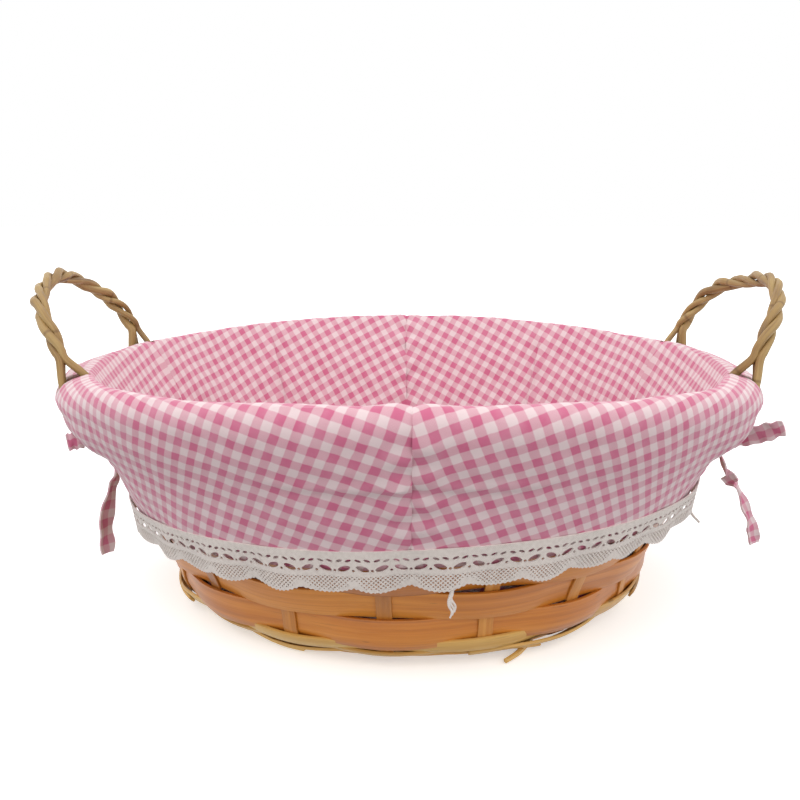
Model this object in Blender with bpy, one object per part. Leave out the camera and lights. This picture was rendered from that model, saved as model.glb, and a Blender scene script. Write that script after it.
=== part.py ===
"""Round bread basket: woven wood splits, a cloth liner tied over the rim, and two twisted rod ears.

Metres, +Z up. The origin is on the floor under the middle of the basket, and +X runs to the right ear.
An angle round the basket is counted from the front, -Y, towards +X. A place in the wall is given by its
distance along a rib from the basket's axis, and by how far it stands outside the rib's middle.
"""

import math

import bpy
from mathutils import Vector

# Overall sizes
RIM_RADIUS = 0.1345  # middle of the ribs at the top of the rim
RIM_HEIGHT = 0.0965  # top of the rim above the floor, at the front and back
END_DIP = 0.006  # how much lower the rim is below the ears
FOOT_RADIUS = 0.086  # where the flat base ends
CORNER_RADIUS = 0.0135
CORNER_TURN = math.radians(85)
FLARE_RADIUS = 0.030

# Clearances
PIECE_GAP = 0.0003
WEAVE_GAP = 0.00045
CLOTH_GAP = 0.0007
FLOOR_GAP = 0.0003

# Ribs: each strip crosses the base and stands up as two stakes
RIB_COUNT = 9
RIB_WIDTH = 0.0055
RIB_THICKNESS = 0.0008
STAKE_START = math.radians(-5)
STAKE_STEP = math.pi / RIB_COUNT

# Weavers
WEAVER_THICKNESS = 0.0012
WALL_ROWS = 7
EDGE_SPLITS = 3
EDGE_SPLIT_WIDTH = 0.0042
BASE_ROUNDS = 4
BASE_EYE_RADIUS = 0.031
STEPS_PER_STAKE = 3
BEND_STEP = math.radians(12)  # the most that a flat face turns where the wall bends
SHOULDER = 0.5  # how far out a weaver is a third of the way to the next stake

# Rim and foot hoops
HOOP_HEIGHT = 0.011
HOOP_THICKNESS = 0.0022
FOOT_HOOP_WIDTH = 0.0065

# Ears
EAR_ANGLE = math.radians(20.5)  # of a foot, from the ear's middle
EAR_REACH = 0.0155  # of the twist's middle past the rim's radius
EAR_RISE = 0.0320  # of the twist's middle above the rim
EAR_LEAN = 0.004
EAR_ROOT = 0.022
EAR_NECK = 0.011
EAR_TURNS = 4
EAR_REACH_POWER = 1.15  # above 1, the bow leans out late; below 1, it rises early
EAR_RISE_POWER = 0.85
FOOT_SPREAD = 0.53  # of the two outside strands at a foot, each from the foot's middle, in rods
ROD_DIAMETER = 0.003
ROD_STEPS = 36
ROD_SIDES = 6
TWIST_RADIUS = (ROD_DIAMETER + PIECE_GAP) / math.sqrt(3)

# Cloth liner and lace
CLOTH_THICKNESS = 0.001
SEAM_GAP = 0.0004
CREST_RISE = 0.0032
CREST_STEPS = 6
HEM_DROP = 0.044  # of the hem below the rim, at the front and back
HEM_TILT = 0.0045
LIP_DEPTH = 0.012
INNER_TUCK = 0.028  # how far below the rim the flap, and the cloth inside, still clear the ears' feet
INNER_EASE = 0.044  # how far below the rim the cloth inside starts to stand off for them
FLAP_END = math.radians(9)
SLOT_HALF = math.radians(1.9)
SWELL_INNER = math.radians(25)
SWELL_OUTER = math.radians(42)
LINER_SEAM = 0.003  # how far inside the foot the wall of the liner ends
LINER_BASE_RADIUS = 0.0815
PANEL_STEPS = 12
LACE_WIDTH = 0.0155
LACE_SCALLOP = 0.0185
LACE_SCALLOP_DEPTH = 0.0022
LACE_THICKNESS = 0.0008
LACE_DROOP = 0.0023
TIE_WIDTH = 0.008
TIE_THICKNESS = 0.0008
TIE_DROP = 0.0305
TIE_START = 1.35  # of a tie on its flap, in flap ends from the ear's middle
TIE_MEET = 0.65  # where it leaves for the knot
KNOT_SIZE = 0.007
KNOT_OUT = 0.55  # of the knot past where the front tie leaves, in knots
KNOT_BACK = 0.9
KNOT_NECK = (0.7, 0.5)  # width and thickness of a tie beside its knot, in knots
KNOT_DEPTH = 0.8
LINK_REACH = 0.75  # where the back tie meets the knot, from its middle, in knots
TAIL_WAY = (1, 0.6, 0.3)  # a hanging tail's width runs this way: outwards, backwards and up
THREAD_DIAMETER = 0.001


def swing_at(radius):
    """How far a weaver's middle stands off the ribs' middle, so that it clears a rib's whole width."""
    stand_off = (RIB_THICKNESS + WEAVER_THICKNESS) / 2 + WEAVE_GAP
    rib_share = min(1.0, RIB_WIDTH / 2 / radius / (STAKE_STEP / STEPS_PER_STAKE))
    return stand_off / (1 - (1 - SHOULDER) * rib_share)


BASE_SWING = swing_at(BASE_EYE_RADIUS)
BASE_HEIGHT = BASE_SWING + WEAVER_THICKNESS / 2 + FLOOR_GAP
CROSSING_RADIUS = (RIB_WIDTH / 2 + PIECE_GAP) / math.tan(STAKE_STEP / 2)
STACK_RISE = RIB_THICKNESS + PIECE_GAP


def flare_end(wall_angle):
    """The place (radius, height) where the flare ends and the straight wall starts."""
    turn = CORNER_TURN - wall_angle
    radius = FOOT_RADIUS + CORNER_RADIUS * math.sin(CORNER_TURN)
    height = BASE_HEIGHT + CORNER_RADIUS * (1 - math.cos(CORNER_TURN))
    middle = CORNER_TURN - turn / 2
    chord = 2 * FLARE_RADIUS * math.sin(turn / 2)
    return radius + chord * math.cos(middle), height + chord * math.sin(middle)


def solve_wall_angle():
    """The wall's angle from level, for which it meets the rim's radius at the rim's height."""
    low, high = math.radians(20), CORNER_TURN
    for _ in range(60):
        angle = (low + high) / 2
        radius, height = flare_end(angle)
        if radius + (RIM_HEIGHT - height) / math.tan(angle) > RIM_RADIUS:
            low = angle
        else:
            high = angle
    return (low + high) / 2


WALL_ANGLE = solve_wall_angle()
CORNER_LENGTH = CORNER_RADIUS * CORNER_TURN
FLARE_LENGTH = FLARE_RADIUS * (CORNER_TURN - WALL_ANGLE)
FLARE_START = FOOT_RADIUS + CORNER_LENGTH
WALL_START = FLARE_START + FLARE_LENGTH
RIM_TOP = WALL_START + (RIM_HEIGHT - flare_end(WALL_ANGLE)[1]) / math.sin(WALL_ANGLE)
FLARE_STEPS = max(2, math.ceil((CORNER_TURN - WALL_ANGLE) / BEND_STEP))
FLARE_STATIONS = [FLARE_START + FLARE_LENGTH * step / FLARE_STEPS for step in range(FLARE_STEPS + 1)]
ROWS_START = FOOT_RADIUS + EDGE_SPLITS * (EDGE_SPLIT_WIDTH + PIECE_GAP)
ROWS_END = RIM_TOP - HOOP_HEIGHT - PIECE_GAP
ROW_PITCH = (ROWS_END - ROWS_START) / WALL_ROWS
HOOP_OFFSET = RIB_THICKNESS / 2 + PIECE_GAP + HOOP_THICKNESS / 2
WEAVE_REACH = swing_at(RIM_RADIUS) + WEAVER_THICKNESS / 2
HOOP_REACH = HOOP_OFFSET + HOOP_THICKNESS / 2
ROD_OFFSET = HOOP_REACH + PIECE_GAP + ROD_DIAMETER / 2
ROD_REACH = ROD_OFFSET + ROD_DIAMETER / 2


def rib_angle(along):
    """The rib's direction from level at a distance along it."""
    if along < FOOT_RADIUS:
        return 0.0
    if along < FLARE_START:
        return (along - FOOT_RADIUS) / CORNER_RADIUS
    return CORNER_TURN - min(along - FLARE_START, FLARE_LENGTH) / FLARE_RADIUS


def section_point(along, offset):
    """(radius, height) of a place given by its distance along a rib and its stand-off outwards."""
    angle = rib_angle(along)
    if along < FOOT_RADIUS:
        radius, height = along, BASE_HEIGHT
    elif along < FLARE_START:
        radius = FOOT_RADIUS + CORNER_RADIUS * math.sin(angle)
        height = BASE_HEIGHT + CORNER_RADIUS * (1 - math.cos(angle))
    else:
        radius, height = flare_end(angle)
        straight = max(0.0, along - WALL_START)
        radius += straight * math.cos(angle)
        height += straight * math.sin(angle)
    return radius + offset * math.sin(angle), height - offset * math.cos(angle)


def along_at_height(height):
    """The distance along a rib at which the straight wall has this height."""
    return WALL_START + (height - flare_end(WALL_ANGLE)[1]) / math.sin(WALL_ANGLE)


def settled(angle, radius, height):
    """A point of the basket after its two ends have settled by END_DIP."""
    dip = END_DIP * math.sin(angle) ** 2 * min(height / RIM_HEIGHT, 1.0)
    return Vector((radius * math.sin(angle), -radius * math.cos(angle), height - dip))


def wall_point(angle, along, offset):
    return settled(angle, *section_point(along, offset))


def clear_scene():
    for thing in list(bpy.data.objects):
        bpy.data.objects.remove(thing, do_unlink=True)


def make_material(name, colour, roughness):
    material = bpy.data.materials.new(name)
    material.use_nodes = True
    shader = material.node_tree.nodes["Principled BSDF"]
    shader.inputs["Base Color"].default_value = (*colour, 1)
    shader.inputs["Roughness"].default_value = roughness
    shader.inputs["Metallic"].default_value = 0.0
    material.diffuse_color = (*colour, 1)
    return material


def add_piece(name, points, faces, material, sharp_over=math.radians(40)):
    """One closed solid. Its faces are given counter-clockwise as seen from outside."""
    mesh = bpy.data.meshes.new(name)
    mesh.from_pydata([tuple(point) for point in points], [], faces)
    mesh.validate()
    mesh.shade_smooth()
    mesh.set_sharp_from_angle(angle=sharp_over)
    mesh.materials.append(material)
    piece = bpy.data.objects.new(name, mesh)
    bpy.context.collection.objects.link(piece)
    return piece


def bridged(sections, closed):
    """Faces between sections of equal length, each a closed loop. An open run is capped at both ends."""
    size = len(sections[0])
    count = len(sections)
    faces = []
    for index in range(count if closed else count - 1):
        here, there = index * size, (index + 1) % count * size
        for corner in range(size):
            nxt = (corner + 1) % size
            faces.append((here + corner, here + nxt, there + nxt, there + corner))
    if not closed:
        faces.append(tuple(reversed(range(size))))
        faces.append(tuple((count - 1) * size + corner for corner in range(size)))
    points = [point for section in sections for point in section]
    return points, faces


def bending(start, end):
    """How much the wall turns between two distances along a rib, the corner's turn and the flare's together."""
    most = CORNER_TURN if start < FLARE_START < end else max(rib_angle(start), rib_angle(end))
    return 2 * most - rib_angle(start) - rib_angle(end)


def ring_section(angle, start, end, low, high):
    """A band's section at one angle: along the ribs from start to end, standing off from low to high."""
    spans = 1 + int(bending(start, end) / BEND_STEP)
    stations = [start + (end - start) * step / spans for step in range(spans + 1)]
    inner = [wall_point(angle, station, low) for station in stations]
    outer = [wall_point(angle, station, high) for station in reversed(stations)]
    return inner + outer


def weave_wave(step):
    """A weaver's stand-off, from -1 to 1, at a numbered station. Station 0 is on a stake it passes outside."""
    phase = step % (2 * STEPS_PER_STAKE)
    return math.cos(math.pi * phase / STEPS_PER_STAKE)


def woven_band(name, start, end, thickness, first_side, material):
    """A split that goes round the basket, passing outside one stake and inside the next."""
    swing = swing_at(section_point(start, 0)[0])
    stations = 2 * RIB_COUNT * STEPS_PER_STAKE
    sections = []
    for step in range(stations):
        angle = STAKE_START + STAKE_STEP * step / STEPS_PER_STAKE
        middle = first_side * swing * weave_wave(step)
        sections.append(
            ring_section(angle, start, end, middle - thickness / 2, middle + thickness / 2)
        )
    return add_piece(name, *bridged(sections, True), material)


def plain_hoop(name, start, end, low, high, steps, material):
    """A stiff hoop that follows the wall without weaving."""
    angles = [STAKE_START + math.tau * step / steps for step in range(steps)]
    sections = [ring_section(angle, start, end, low, high) for angle in angles]
    return add_piece(name, *bridged(sections, True), material)


def rib_stations():
    """Distances along a rib, from the base's middle to the rim, where its section is set."""
    corner = [FOOT_RADIUS + CORNER_LENGTH * step / 6 for step in range(6)]
    return corner + FLARE_STATIONS + [RIM_TOP - PIECE_GAP]


def make_rib(index, material):
    """A strip that crosses the base in its own layer of the stack and rises as two stakes."""
    angle = STAKE_START + STAKE_STEP * index
    lift = STACK_RISE * index
    sections = []
    for side in (-1, 1):
        turn = angle if side > 0 else angle + math.pi
        sideways = settled(turn + math.pi / 2, RIB_WIDTH / 2, 0) * side
        half = []
        for radius, height in ((CROSSING_RADIUS, lift), (BASE_EYE_RADIUS - PIECE_GAP, 0)):
            low = settled(turn, radius, BASE_HEIGHT + height - RIB_THICKNESS / 2)
            high = settled(turn, radius, BASE_HEIGHT + height + RIB_THICKNESS / 2)
            half.append((low, high))
        for along in rib_stations():
            low = wall_point(turn, along, RIB_THICKNESS / 2)
            high = wall_point(turn, along, -RIB_THICKNESS / 2)
            half.append((low, high))
        run = [
            [low - sideways, low + sideways, high + sideways, high - sideways]
            for low, high in half
        ]
        sections = list(reversed(run)) if side < 0 else sections + run
    points, faces = bridged(sections, False)
    return add_piece(f"rib_{index + 1}", points, faces, material)


def tube(name, route, radius, sides, material):
    """A round rod along a route, with flat ends. Its frame is carried along without twisting."""
    route = [Vector(point) for point in route]
    tangents = []
    for index in range(len(route)):
        before = route[max(index - 1, 0)]
        after = route[min(index + 1, len(route) - 1)]
        tangents.append((after - before).normalized())
    across = tangents[0].orthogonal().normalized()
    sections = []
    for point, tangent in zip(route, tangents):
        across = (across - tangent * across.dot(tangent)).normalized()
        up = tangent.cross(across)
        ring = []
        for side in range(sides):
            turn = math.tau * side / sides
            ring.append(point + radius * (math.cos(turn) * across + math.sin(turn) * up))
        sections.append(ring)
    return add_piece(name, *bridged(sections, False), material)


def ear_middle(side, share):
    """The middle of an ear's twist. share runs from 0 at the front foot to 1 at the back foot."""
    front = wall_point(side * (math.pi / 2 - EAR_ANGLE), RIM_TOP + EAR_NECK, 0)
    bend = math.sin(math.pi * share)
    top_x = RIM_RADIUS + EAR_REACH
    top_z = RIM_HEIGHT + EAR_RISE
    reach = abs(front.x) + (top_x - abs(front.x)) * bend**EAR_REACH_POWER
    rise = front.z + (top_z - front.z) * bend**EAR_RISE_POWER
    width = front.y * math.cos(math.pi * share) + EAR_LEAN * bend
    return Vector((side * reach, width, rise))


def foot_run(side, end, strand):
    """A strand's straight run at a foot, from its tip up past the rim. Strand 2 goes down inside."""
    middle = side * (math.pi / 2 - end * EAR_ANGLE)
    inside = strand == 2
    spread = (FOOT_SPREAD, -FOOT_SPREAD, 0.0)[strand] * (ROD_DIAMETER + PIECE_GAP)
    angle = middle + side * spread / RIM_RADIUS
    offset = -ROD_OFFSET if inside else ROD_OFFSET
    stations = (RIM_TOP - EAR_ROOT, RIM_TOP - EAR_ROOT / 2, RIM_TOP + PIECE_GAP * 4)
    return [wall_point(angle, along, offset) for along in stations]


def strand_route(side, strand):
    """The whole route of one strand of an ear. The two outside strands change places from foot to foot."""
    start_turn = (math.pi / 3, -math.pi / 3, math.pi)[strand]
    twist = []
    for step in range(ROD_STEPS + 1):
        share = step / ROD_STEPS
        here = ear_middle(side, share)
        nudge = 0.01
        tangent = ear_middle(side, min(share + nudge, 1)) - ear_middle(side, max(share - nudge, 0))
        tangent.normalize()
        outward = Vector((side, 0, 0))
        outward = (outward - tangent * outward.dot(tangent)).normalized()
        level = tangent.cross(outward) * side
        turn = start_turn + math.tau * EAR_TURNS * share
        twist.append(here + TWIST_RADIUS * (math.cos(turn) * outward + math.sin(turn) * level))
    far_strand = (1, 0, 2)[strand]
    return foot_run(side, 1, strand) + twist + foot_run(side, -1, far_strand)[::-1]


def make_ear(side, label, material):
    for strand in range(3):
        route = strand_route(side, strand)
        tube(f"ear_{label}_rod_{strand + 1}", route, ROD_DIAMETER / 2, ROD_SIDES, material)


def ear_swell(angle):
    """1 beside the ears' feet, where the cloth goes round the rods, falling to 0 away from them."""
    from_end = abs(math.pi / 2 - abs(math.remainder(angle, math.tau)))
    share = (SWELL_OUTER - from_end) / (SWELL_OUTER - SWELL_INNER)
    share = min(max(share, 0.0), 1.0)
    return share * share * (3 - 2 * share)


def cloth_offset(angle, reach):
    """Stand-off of the cloth's middle beside something that reaches this far out."""
    plain = reach + CLOTH_GAP + CLOTH_THICKNESS / 2
    beside_rods = ROD_REACH + CLOTH_GAP + CLOTH_THICKNESS / 2
    return plain + (beside_rods - plain) * ear_swell(angle)


def hem_along(angle):
    return along_at_height(RIM_HEIGHT - HEM_DROP + HEM_TILT * math.sin(angle))


def hem_offset(angle):
    """Stand-off of the hem's middle, half way between the cloth on the hoops and the cloth on the weave."""
    return (cloth_offset(angle, HOOP_REACH) + cloth_offset(0, WEAVE_REACH)) / 2


def liner_profile(angle):
    """(radius, height) points of the liner's middle surface: up the wall, over the rim, down to the hem."""
    plain = WEAVE_REACH + CLOTH_GAP + CLOTH_THICKNESS / 2
    near_rim = cloth_offset(angle, HOOP_REACH)
    points = [section_point(along, -plain) for along in LINER_LOW]
    points += [section_point(along, -near_rim) for along in LINER_HIGH]
    for step in range(1, CREST_STEPS):
        turn = math.pi * step / CREST_STEPS
        along = RIM_TOP + PIECE_GAP + CREST_RISE * math.sin(turn)
        points.append(section_point(along, -near_rim * math.cos(turn)))
    for along in (RIM_TOP, RIM_TOP - LIP_DEPTH, RIM_TOP - INNER_TUCK):
        points.append(section_point(along, near_rim))
    points.append(section_point(hem_along(angle), hem_offset(angle)))
    return points


LINER_LOW = (
    FOOT_RADIUS - LINER_SEAM,
    FOOT_RADIUS + CORNER_LENGTH / 3,
    FOOT_RADIUS + CORNER_LENGTH * 2 / 3,
    *FLARE_STATIONS,
)
LINER_HIGH = (RIM_TOP - INNER_EASE, RIM_TOP - INNER_TUCK, RIM_TOP - LIP_DEPTH, RIM_TOP)
INNER_TOP = len(LINER_LOW) + len(LINER_HIGH) - 1
LIP_ROW = INNER_TOP + CREST_STEPS + 1


def shell(name, angles, profile_of, keep, thickness, material):
    """A closed sheet of even thickness. Its grid runs over angles and profile points; keep picks cells."""
    grid = [profile_of(angle) for angle in angles]
    rows = len(grid[0])
    front, back = {}, {}
    points = []
    for column, (angle, profile) in enumerate(zip(angles, grid)):
        for row, (radius, height) in enumerate(profile):
            before = profile[max(row - 1, 0)]
            after = profile[min(row + 1, rows - 1)]
            run, rise = after[0] - before[0], after[1] - before[1]
            scale = thickness / 2 / math.hypot(run, rise)
            for sheet, way in ((front, 1), (back, -1)):
                sheet[column, row] = len(points)
                points.append(
                    settled(angle, radius - way * rise * scale, height + way * run * scale)
                )
    cells = {
        (column, row)
        for column in range(len(angles) - 1)
        for row in range(rows - 1)
        if keep(0.5 * (angles[column] + angles[column + 1]), row)
    }
    faces = []
    for column, row in sorted(cells):
        corners = [(column, row), (column + 1, row), (column + 1, row + 1), (column, row + 1)]
        beside = [(column, row - 1), (column + 1, row), (column, row + 1), (column - 1, row)]
        faces.append(tuple(front[corner] for corner in reversed(corners)))
        faces.append(tuple(back[corner] for corner in corners))
        for index, other in enumerate(beside):
            if other in cells:
                continue
            first, second = corners[index], corners[(index + 1) % 4]
            faces.append((front[first], front[second], back[second], back[first]))
    used = sorted({index for face in faces for index in face})
    number = {index: place for place, index in enumerate(used)}
    faces = [tuple(number[index] for index in face) for face in faces]
    return add_piece(name, [points[index] for index in used], faces, material)


def panel_angles(start, end):
    """Angles from one seam to the next, with lines on the edges of the slot and of the flap."""
    ear_end = math.copysign(math.pi / 2, start + end)
    marks = [ear_end + way * mark for way in (-1, 1) for mark in slot_marks()]
    lines = [start + (end - start) * step / PANEL_STEPS for step in range(PANEL_STEPS + 1)]
    least = (end - start) / PANEL_STEPS / 3
    marks = [mark for mark in marks if start + least < mark < end - least]
    lines = [line for line in lines if all(abs(line - mark) > least for mark in marks)]
    return sorted(lines + marks)


def slot_marks():
    return (FLAP_END, EAR_ANGLE - SLOT_HALF, EAR_ANGLE + SLOT_HALF)


def keep_cloth(angle, row):
    """False in the slot where a foot comes through, and below the short lip between the two flaps."""
    from_end = abs(math.pi / 2 - abs(math.remainder(angle, math.tau)))
    in_slot = abs(from_end - EAR_ANGLE) < SLOT_HALF and INNER_TOP <= row < LIP_ROW - 1
    return not in_slot and not (from_end < FLAP_END and row >= LIP_ROW)


def make_liner(material):
    quarters = {"front_right": 0, "back_right": 1, "back_left": -2, "front_left": -1}
    for label, quarter in quarters.items():
        start = quarter * math.pi / 2 + SEAM_GAP / 2 / FOOT_RADIUS
        end = (quarter + 1) * math.pi / 2 - SEAM_GAP / 2 / FOOT_RADIUS
        shell(
            f"liner_{label}",
            panel_angles(start, end),
            liner_profile,
            keep_cloth,
            CLOTH_THICKNESS,
            material,
        )


def make_liner_bottom(material):
    """The liner's round bottom, which lies over the stack of ribs in the middle."""
    flat = BASE_HEIGHT + BASE_SWING + WEAVER_THICKNESS / 2 + CLOTH_GAP
    raised = BASE_HEIGHT + RIB_COUNT * STACK_RISE + CLOTH_GAP
    profile = [
        (CROSSING_RADIUS + 2 * CLOTH_GAP, raised),
        (BASE_EYE_RADIUS + 2 * CLOTH_GAP, flat),
        (LINER_BASE_RADIUS, flat),
    ]
    steps = 4 * RIB_COUNT
    points = [Vector((0, 0, raised)), Vector((0, 0, raised + CLOTH_THICKNESS))]
    for step in range(steps):
        angle = STAKE_START + math.tau * step / steps
        points += [settled(angle, radius, height) for radius, height in profile]
        points += [settled(angle, radius, height + CLOTH_THICKNESS) for radius, height in reversed(profile)]
    size = 2 * len(profile)
    faces = []
    for step in range(steps):
        here, there = 2 + step * size, 2 + (step + 1) % steps * size
        faces.append((0, there, here))
        faces.append((1, here + size - 1, there + size - 1))
        for corner in range(size - 1):
            faces.append((here + corner, there + corner, there + corner + 1, here + corner + 1))
    return add_piece("liner_bottom", points, faces, material)


def make_lace(label, middle, material):
    """A lace strip below a flap's hem, with a scalloped lower edge."""
    half = math.pi / 2 - FLAP_END
    hem_radius = section_point(hem_along(0), HOOP_REACH)[0]
    scallops = round(2 * half * hem_radius / LACE_SCALLOP)
    steps = 4 * scallops

    def profile(angle):
        share = (angle - middle + half) / (2 * half)
        dip = abs(math.sin(math.pi * share * scallops))
        hem = hem_along(angle)
        width = LACE_WIDTH - LACE_SCALLOP_DEPTH * (1 - dip)
        top = section_point(hem - 2 * PIECE_GAP, hem_offset(angle))
        low = section_point(hem - width, hem_offset(angle) + LACE_DROOP)
        return [top, low]

    angles = [middle - half + 2 * half * step / steps for step in range(steps + 1)]
    return shell(f"lace_{label}", angles, profile, lambda angle, row: True, LACE_THICKNESS, material)


def ribbon(name, stations, material):
    """A flat tie through stations of (point, direction of its width, width, thickness)."""
    sections = []
    for index, (point, way, width, thickness) in enumerate(stations):
        before = stations[max(index - 1, 0)][0]
        after = stations[min(index + 1, len(stations) - 1)][0]
        tangent = (after - before).normalized()
        across = (way - tangent * way.dot(tangent)).normalized() * width / 2
        thick = tangent.cross(across).normalized() * thickness / 2
        low, high = point - thick, point + thick
        sections.append([low - across, low + across, high + across, high - across])
    return add_piece(name, *bridged(sections, False), material)


def tie_root(side, end, share):
    """Where a tie lies on its flap near the corner, share 0, or on its way to the knot, share 1."""
    angle = side * (math.pi / 2 - end * FLAP_END * (TIE_START + (TIE_MEET - TIE_START) * share))
    flap_face = ROD_REACH + CLOTH_GAP + CLOTH_THICKNESS + PIECE_GAP + TIE_THICKNESS / 2
    return wall_point(angle, along_at_height(RIM_HEIGHT - TIE_DROP), flap_face + PIECE_GAP * 2 * share)


def make_ties(side, label, front_tail, back_tail, material):
    """The two ties under one ear: the front one makes the knot, and the back one's tail hangs from it."""
    flat = (TIE_WIDTH, TIE_THICKNESS)
    upright = Vector((0, 0, 1))
    slope = Vector((side * math.cos(WALL_ANGLE), 0, math.sin(WALL_ANGLE)))
    knot = tie_root(side, 1, 1) + KNOT_SIZE * Vector((side * KNOT_OUT, KNOT_BACK, 0))
    entry = knot - Vector((0, KNOT_SIZE / 2, 0))
    leave = knot + Vector((side * KNOT_SIZE / 2, 0, 0))
    neck = [KNOT_SIZE * share for share in KNOT_NECK]
    stations = [
        (tie_root(side, 1, 0), slope, *flat),
        (tie_root(side, 1, 1), slope, *flat),
        (entry, upright, *neck),
        (knot, upright, KNOT_SIZE, KNOT_SIZE * KNOT_DEPTH),
        (leave, upright, *neck),
    ]
    stations += [(knot + at(side, move), upright, *flat) for move in front_tail]
    ribbon(f"tie_{label}_front", stations, material)
    knot_face = knot + Vector((0, KNOT_SIZE * LINK_REACH + PIECE_GAP, 0))
    bridge = [
        (tie_root(side, -1, 0), slope, *flat),
        (tie_root(side, -1, 1), slope, *flat),
        (knot_face, upright, neck[0], TIE_THICKNESS),
    ]
    ribbon(f"tie_{label}_back", bridge, material)
    hang = [(knot + at(side, move), at(side, TAIL_WAY), *flat) for move in back_tail]
    ribbon(f"tie_{label}_tail", hang, material)


def at(side, move):
    """A move given as outwards, backwards and up, on the side of one ear."""
    return Vector((side * move[0], move[1], move[2]))


RIGHT_FRONT_TAIL = ((0.0075, -0.004, 0.002), (0.0140, -0.010, 0.006), (0.0190, -0.0155, 0.0095))
RIGHT_BACK_TAIL = (
    (-0.001, -0.002, -0.0055),
    (0.002, -0.003, -0.012),
    (0.008, -0.004, -0.019),
    (0.0115, -0.005, -0.029),
    (0.0150, -0.005, -0.0425),
)
LEFT_FRONT_TAIL = ((0.0070, -0.003, -0.001), (0.0100, -0.005, -0.002))
LEFT_BACK_TAIL = (
    (-0.0055, -0.002, -0.0060),
    (-0.0070, -0.002, -0.0140),
    (-0.0040, -0.002, -0.0220),
    (-0.0020, -0.002, -0.0350),
    (-0.0025, -0.002, -0.0480),
)


def make_threads(material):
    """Two loose thread ends: one below the front lace, one below its right end."""
    hem = hem_along(0) - LACE_WIDTH
    front = [
        wall_point(math.radians(9 - step), hem - 0.001 - 0.003 * step, 0.0055 + 0.0004 * step)
        for step in range(4)
    ]
    tube("thread_front", front, THREAD_DIAMETER / 2, ROD_SIDES, material)
    right_hem = hem_along(math.pi / 2) - LACE_WIDTH
    right = [
        wall_point(math.radians(72 + step), right_hem - 0.001 - 0.003 * step, 0.009 + 0.0022 * step)
        for step in range(4)
    ]
    tube("thread_right", right, THREAD_DIAMETER / 2, ROD_SIDES, material)


def make_weaving(split, edge, hoop):
    """Base rounds, edge splits, wall rows, and the foot and rim hoops."""
    base_end = FOOT_RADIUS - FOOT_HOOP_WIDTH - PIECE_GAP
    base_pitch = (base_end - BASE_EYE_RADIUS) / BASE_ROUNDS
    for index in range(BASE_ROUNDS):
        start = BASE_EYE_RADIUS + base_pitch * index
        side = 1 - 2 * (index % 2)
        woven_band(
            f"base_round_{index + 1}", start, start + base_pitch - PIECE_GAP, WEAVER_THICKNESS, side, split
        )
    under_ribs = RIB_THICKNESS / 2 + PIECE_GAP
    foot_steps = 4 * RIB_COUNT
    rim_steps = 8 * RIB_COUNT
    plain_hoop("foot_hoop", base_end + PIECE_GAP, FOOT_RADIUS, under_ribs, BASE_HEIGHT, foot_steps, hoop)
    for index in range(EDGE_SPLITS):
        start = FOOT_RADIUS + (EDGE_SPLIT_WIDTH + PIECE_GAP) * index + PIECE_GAP
        side = 1 - 2 * (index % 2)
        woven_band(f"edge_split_{index + 1}", start, start + EDGE_SPLIT_WIDTH, WEAVER_THICKNESS, -side, edge)
    for index in range(WALL_ROWS):
        start = ROWS_START + ROW_PITCH * index + PIECE_GAP
        side = 1 - 2 * (index % 2)
        woven_band(f"wall_row_{index + 1}", start, start + ROW_PITCH - PIECE_GAP, WEAVER_THICKNESS, side, split)
    low, high = HOOP_OFFSET - HOOP_THICKNESS / 2, HOOP_OFFSET + HOOP_THICKNESS / 2
    plain_hoop("rim_hoop_outer", RIM_TOP - HOOP_HEIGHT, RIM_TOP, low, high, rim_steps, hoop)
    plain_hoop("rim_hoop_inner", RIM_TOP - HOOP_HEIGHT, RIM_TOP, -high, -low, rim_steps, hoop)


def main():
    clear_scene()
    bpy.context.scene.unit_settings.scale_length = 1.0
    honey = make_material("honey_split", (0.56, 0.27, 0.08), 0.45)
    pale = make_material("pale_split", (0.62, 0.40, 0.16), 0.5)
    rib_wood = make_material("rib_wood", (0.52, 0.29, 0.11), 0.5)
    hoop_wood = make_material("hoop_wood", (0.50, 0.26, 0.09), 0.5)
    willow = make_material("willow", (0.50, 0.31, 0.14), 0.6)
    cloth = make_material("gingham", (0.70, 0.36, 0.48), 0.9)
    lace = make_material("lace_cotton", (0.72, 0.70, 0.66), 0.9)
    for index in range(RIB_COUNT):
        make_rib(index, rib_wood)
    make_weaving(honey, pale, hoop_wood)
    make_ear(1, "right", willow)
    make_ear(-1, "left", willow)
    make_liner(cloth)
    make_liner_bottom(cloth)
    make_lace("front", 0.0, lace)
    make_lace("back", math.pi, lace)
    make_ties(1, "right", RIGHT_FRONT_TAIL, RIGHT_BACK_TAIL, cloth)
    make_ties(-1, "left", LEFT_FRONT_TAIL, LEFT_BACK_TAIL, cloth)
    make_threads(lace)


main()
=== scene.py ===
"""Looks of a round bread basket: woven wood splits, two twisted rod ears, a gingham liner tied over
the rim, and a lace edge.

Metres, +Z up. An angle round the basket is counted from the front, -Y, towards +X. A place in the wall
is given by its distance along a rib from the basket's axis, and by how far it stands off the ribs.
"""

import logging
import math
from collections.abc import Callable, Sequence
from dataclasses import dataclass
from enum import Enum
from functools import cached_property

import bmesh
import bpy
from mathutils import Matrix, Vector, noise


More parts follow.
